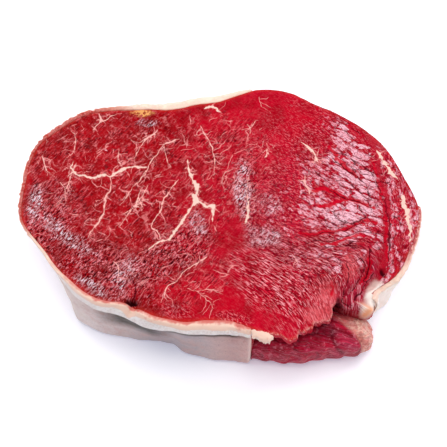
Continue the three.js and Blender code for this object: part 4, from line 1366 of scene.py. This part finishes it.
tornFat = {
    "inner": [(252.0, 328), (274, 333.5)],  # its two long edges, picture points
    "outer": [(251.0, 336.5), (270.5, 342)],
    "levels": {"inner": 47.0, "outer": 46.0},  # mm, where those points are laid
    "steps": 60,
    "around": 40,
    "proud": 2.2,  # mm above the meat
    "sunk": (0.9, 2.3),  # mm of it in the meat, at the cap and at its free end
}


def buildTornFat(material):
    # A torn tag that carries the collar on past the end of the cap: a slab with a ragged outline
    # that lies on the corner of the cut face, sunk into it, and droops a little past its edge.
    # Its sections are rounded rectangles, and its ends are closed
    t = np.linspace(0, 1, tornFat["steps"])[:, None]
    turn = (2 * np.pi * np.arange(tornFat["around"]) / tornFat["around"])[None, :]
    inner, outer = (onFace(tornFat[edge], tornFat["levels"][edge]) for edge in ("inner", "outer"))
    c, s = np.cos(turn), np.sin(turn)
    fade = np.sqrt(np.clip(1 - np.abs(2 * t - 1) ** 14, 0.02, 1))
    ragged = 0.1 * noise(t * 9, s * 0, 91) + 0.09 * noise(t * 20, s * 0, 92)
    across = 0.5 + (0.5 * fade + ragged * np.abs(c)) * np.sign(c) * np.abs(c) ** 0.55
    t = t + 0.06 * noise(across * 4, t * 0, 94) * ease((np.abs(t - 0.5) - 0.3) / 0.2) * np.sign(t - 0.5)
    here = []
    for k in (0, 1):
        onInner = inner[0, k] * (1 - t) + inner[1, k] * t
        onOuter = outer[0, k] * (1 - t) + outer[1, k] * t
        here.append(onInner * (1 - across) + onOuter * across)
    dx, dy = here[0] - joint["centre"][0], here[1] - joint["centre"][1]
    degrees, r = np.degrees(np.arctan2(dy, dx)) % 360, np.hypot(dx, dy)
    edge = edgeAt(degrees)
    sunk = tornFat["sunk"][0] + (tornFat["sunk"][1] - tornFat["sunk"][0]) * t
    half = (tornFat["proud"] + sunk) / 2
    base = faceHeight(degrees, np.minimum(r / edge, 1)) - sunk - 0.09 * np.maximum(r - edge, 0) ** 1.6
    upDown = np.sign(s) * np.abs(s) ** 0.55
    z = base + half + half * fade * upDown + 0.2 * noise(t * 8, across * 3, 93) * fade
    body = np.stack([here[0], here[1], z], -1)
    points = np.concatenate([body.reshape(-1, 3), [body[0].mean(0)], [body[-1].mean(0)]])
    count = len(points) - 2
    around = tornFat["around"]
    k = np.arange(around)
    after = (k + 1) % around
    lastRow = (tornFat["steps"] - 1) * around
    sides = gridFaces(tornFat["steps"], around, wrap=True)[:, ::-1]
    firstTip = np.stack([np.full(around, count), after, k], -1)
    lastTip = np.stack([np.full(around, count + 1), lastRow + k, lastRow + after], -1)
    # All of it is cut rim, as on the front of the cap, and out in the light
    even = {"rim": 1.0, "across": 0.9, "belowFold": -9.0, "shade": lit, "angle": 240.0}
    fields = {name: np.full(len(points), value) for name, value in even.items()}
    fields["height"] = points[:, 2]
    makePiece("torn_fat", points, [sides, firstTip, lastTip], fields, material)


# The small muscle under the front edge

smallMuscle = {
    "span": (284.0, 327.0),
    "outer": [
        (284, 79.5), (290, 85), (296, 90.5), (302, 95.5), (308, 100), (313, 106), (317, 111.5),
        (321, 113.5), (325, 109), (329, 100),
    ],
    "width": [(284, 20), (292, 32), (304, 40), (316, 44), (325, 34), (329, 22)],
    "top": [
        (284, 30), (292, 33), (304, 33), (311, 29.5), (317, 26), (322, 23.5), (326, 20), (329, 16),
    ],
    "steps": 330,
    "around": 200,
    "meanRadius": 100,  # mm, for lengths along
    "meanHalf": 16,  # mm, for lengths round a section
    "lobe": (314.2, 0.55, 3.0),  # degrees along, radians round, mm out
    "lobeSize": (2.6, 0.5),  # degrees along, radians round
    "furrow": (318.6, 2.6),  # degrees along, mm in: between the lobe and the sinewy end
    "sinewFrom": 316.8,
    # Where the painted shade under the lip fades out
    "lipShadeFades": (541.0, 551.0),  # mm along, under the right end of the lip
}


def buildMuscle(material):
    # Sections like a flattened, rounded square stand along a bent path, and swell from nothing
    # at its ends by the sine of the way along. Strands of noise run along it, a lobe stands out
    # near its right end and a sinewy knot is beyond the lobe
    steps, around = smallMuscle["steps"], smallMuscle["around"]
    t = (np.arange(1, steps) / steps)[:, None]
    low, high = smallMuscle["span"]
    degrees = low + (high - low) * (0.5 - 0.5 * np.cos(np.pi * t))
    plump = np.sin(np.pi * t) ** 0.4
    wide = openTable(smallMuscle["width"], degrees, hold=True) / 2 * plump
    top = openTable(smallMuscle["top"], degrees, hold=True) * (0.45 + 0.55 * plump)
    centre = openTable(smallMuscle["outer"], degrees, hold=True) - wide
    turn = (2 * np.pi * np.arange(around) / around)[None, :]
    c, s = np.cos(turn), np.sin(turn)
    along = np.radians(degrees) * smallMuscle["meanRadius"] + 0 * turn  # mm
    fromOutermost = np.abs(np.where(turn > np.pi, turn - 2 * np.pi, turn) + 0 * t) * smallMuscle["meanHalf"]
    sweep = fromOutermost + 0.35 * (along - along.min())
    strand = 0.5 * noise(along / 11, sweep / 2.6, 81) + 0.28 * noise(along / 6, sweep / 1.3, 82)
    knot = ease((degrees - smallMuscle["sinewFrom"]) / 2.5)
    knotty = 0.9 * noise(along / 4.5, fromOutermost / 3.2, 83)
    strand = strand + knot * (knotty + 0.5 * noise(along / 2, fromOutermost / 1.7, 84))
    lobeAt, lobeTurn, lobeOut = smallMuscle["lobe"]
    lobeLong, lobeRound = smallMuscle["lobeSize"]
    lobe = bell((degrees - lobeAt) / lobeLong) * bell((turn - lobeTurn) / lobeRound)
    fromLobe = np.hypot((degrees - lobeAt) / lobeLong, (turn - lobeTurn) / lobeRound)
    ring = bell((fromLobe - 1.35) / 0.22)
    furrowAt, furrowIn = smallMuscle["furrow"]
    gully = furrowIn * bell((degrees - furrowAt) / 0.8) * bell((turn - 0.5) / 0.9)
    swell = lobeOut * lobe - 0.9 * ring - gully + strand
    swell = swell * np.clip(plump * 1.4 - 0.4, 0, 1)
    r = centre + wide * np.sign(c) * np.abs(c) ** 0.75 + swell * c
    squared = np.where(s < 0, np.abs(s) ** 0.5, np.abs(s) ** 0.75)
    z = top / 2 + top / 2 * np.sign(s) * squared + swell * np.maximum(s, 0)
    z = np.maximum(z, 0)
    body = polar(degrees, r, z)
    points = np.concatenate([body.reshape(-1, 3), [body[0].mean(0)], [body[-1].mean(0)]])
    count = len(points) - 2
    faces = gridFaces(steps - 1, around, wrap=True)
    k = np.arange(around)
    after = (k + 1) % around
    firstTip = np.stack([np.full(around, count), k, after], -1)
    lastRow = (steps - 2) * around
    lastTip = np.stack([np.full(around, count + 1), lastRow + after, lastRow + k], -1)

    def whole(field):
        # One value for each point, and 0 at the two tips
        return np.append(field + 0 * r, [0.0, 0.0])

    # The sinew's colour ends a little past the top, towards the meat
    facing = ease((1.9 - np.where(turn > np.pi, 0, turn)) / 0.7)
    fields = {
        "along": whole(along), "sweep": whole(sweep), "knot": whole(knot * facing),
        "ring": whole(ring + gully / 3), "lobe": whole(lobe), "up": whole(s),
    }
    piece = makePiece("small_muscle", points, [faces, firstTip, lastTip], fields, material)
    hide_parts("side_muscle")


muscleFields = ("along", "sweep", "knot", "ring", "lobe", "up")


def silverskinMuscle():
    # Raw beef muscle in its silverskin: dark purple red, with pale strands that sweep along it, a moist
    # sheen, partly real gloss and partly painted light pink highlights, and cream sinew at its right end
    material, tree, surface = newMaterial("raw beef muscle under silverskin")
    place = node(tree, "TexCoord", {}, "Object")
    field = {name: node(tree, "Attribute", {"attribute_name": name}, "Fac") for name in muscleFields}
    sweeps = {}
    for name, long, wide, bent, low, high in (
        ("pale", 13.0, 3.0, 1.3, 0.5, 0.66), ("dark", 10.0, 2.6, 1.5, 0.46, 0.34),
        ("thin", 7.0, 1.0, 1.8, 0.56, 0.66),
    ):
        wave = streak(tree, (field["along"], field["sweep"]), long, wide, bent, 2.0, 0.55)
        sweeps[name] = node(tree, "MapRange", {0: wave, 1: low, 2: high, 3: 0.0, 4: 1.0})
    clouds = noises(tree, place, (
        ("slow", 130.0, 3.0, 0.4, 0.6), ("fine", 700.0, 3.0, 0.42, 0.6), ("wetGlint", 420.0, 3.0, 0.57, 0.64),
    ))
    base = node(
        tree, "Mix", {"data_type": "RGBA", 0: clouds["slow"], 6: colour("#96001e"), 7: colour("#bc0c32")}, 2
    )
    amount = {}
    # The wet spots are light pink painted highlights on the moist skin
    for name, first, much in (
        ("pale", sweeps["pale"], 0.3), ("thin", sweeps["thin"], 0.22), ("dark", sweeps["dark"], 0.6),
        ("knot", field["knot"], 0.95), ("lobe", field["lobe"], 0.6), ("ring", field["ring"], 0.6),
        ("grain", clouds["fine"], 0.1), ("wetGlint", clouds["wetGlint"], 0.4), ("fleck", clouds["fine"], 0.6),
    ):
        amount[name] = node(tree, "Math", {"operation": "MULTIPLY", 0: first, 1: much})
    # The sinew is cream to pink, flecked with a duller red
    sinew = node(
        tree, "Mix", {"data_type": "RGBA", 0: clouds["slow"], 6: colour("#ffe0cc"), 7: colour("#ee9c90")}, 2
    )
    sinew = layered(tree, sinew, amount, [("fleck", "#b8605a")])
    # Painted shade darkens the crevice under the lip, and ends where the sinew begins
    near, far = smallMuscle["lipShadeFades"]
    high = node(tree, "MapRange", {0: field["up"], 1: 0.62, 2: 0.98, 3: 0.0, 4: 0.6})
    covered = node(tree, "MapRange", {0: field["along"], 1: near, 2: far, 3: 1.0, 4: 0.0})
    amount["lipShade"] = node(tree, "Math", {"operation": "MULTIPLY", 0: high, 1: covered})
    base = layered(tree, base, amount, (
        ("lobe", "#c83c5c"), ("grain", "#c45068"), ("pale", "#cc4c70"), ("dark", "#4c0010"),
        ("ring", "#54040f"), ("knot", sinew), ("thin", "#eca0b0"), ("wetGlint", "#e88c9c"),
        ("lipShade", "#240006"),
    ))
    tree.links.new(base, surface.inputs["Base Color"])
    rise = node(tree, "Math", {"operation": "MULTIPLY_ADD", 0: sweeps["thin"], 1: 0.7, 2: sweeps["pale"]})
    rise = node(tree, "Math", {"operation": "MULTIPLY_ADD", 0: clouds["fine"], 1: 0.4, 2: rise})
    bump = node(tree, "Bump", {"Strength": 0.5, "Distance": 0.0005, "Height": rise})
    tree.links.new(bump, surface.inputs["Normal"])
    surface.inputs["Roughness"].default_value = 0.28
    surface.inputs["Specular IOR Level"].default_value = 0.06
    surface.inputs["Specular Tint"].default_value = colour("#ffa0a8")
    return material


buildLean(rawLean())
fatFinish = cutFat()
buildFat("fat_cap_cut", fatCap, "fat_cap", fatFinish)
buildFat("side_fat_cut", sideFat, "side_fat", fatFinish)
buildTornFat(fatFinish)
buildMuscle(silverskinMuscle())

# The table

tableMesh = bpy.data.meshes.new("table")
half = 3.0  # m
tableCorners = [(-half, -half, 0), (half, -half, 0), (half, half, 0), (-half, half, 0)]
tableMesh.from_pydata(tableCorners, [], [(0, 1, 2, 3)])
table = bpy.data.objects.new("table", tableMesh)
bpy.context.collection.objects.link(table)
tableWhite, _, tableSurface = newMaterial("white laminate table")
tableSurface.inputs["Base Color"].default_value = colour("#fbfbfb")
tableSurface.inputs["Roughness"].default_value = 0.9
tableSurface.inputs["Specular IOR Level"].default_value = 0.1
tableSurface.inputs["Emission Color"].default_value = colour("#d6e2ff")
tableSurface.inputs["Emission Strength"].default_value = 0.3
tableMesh.materials.append(tableWhite)

print("all pieces made")
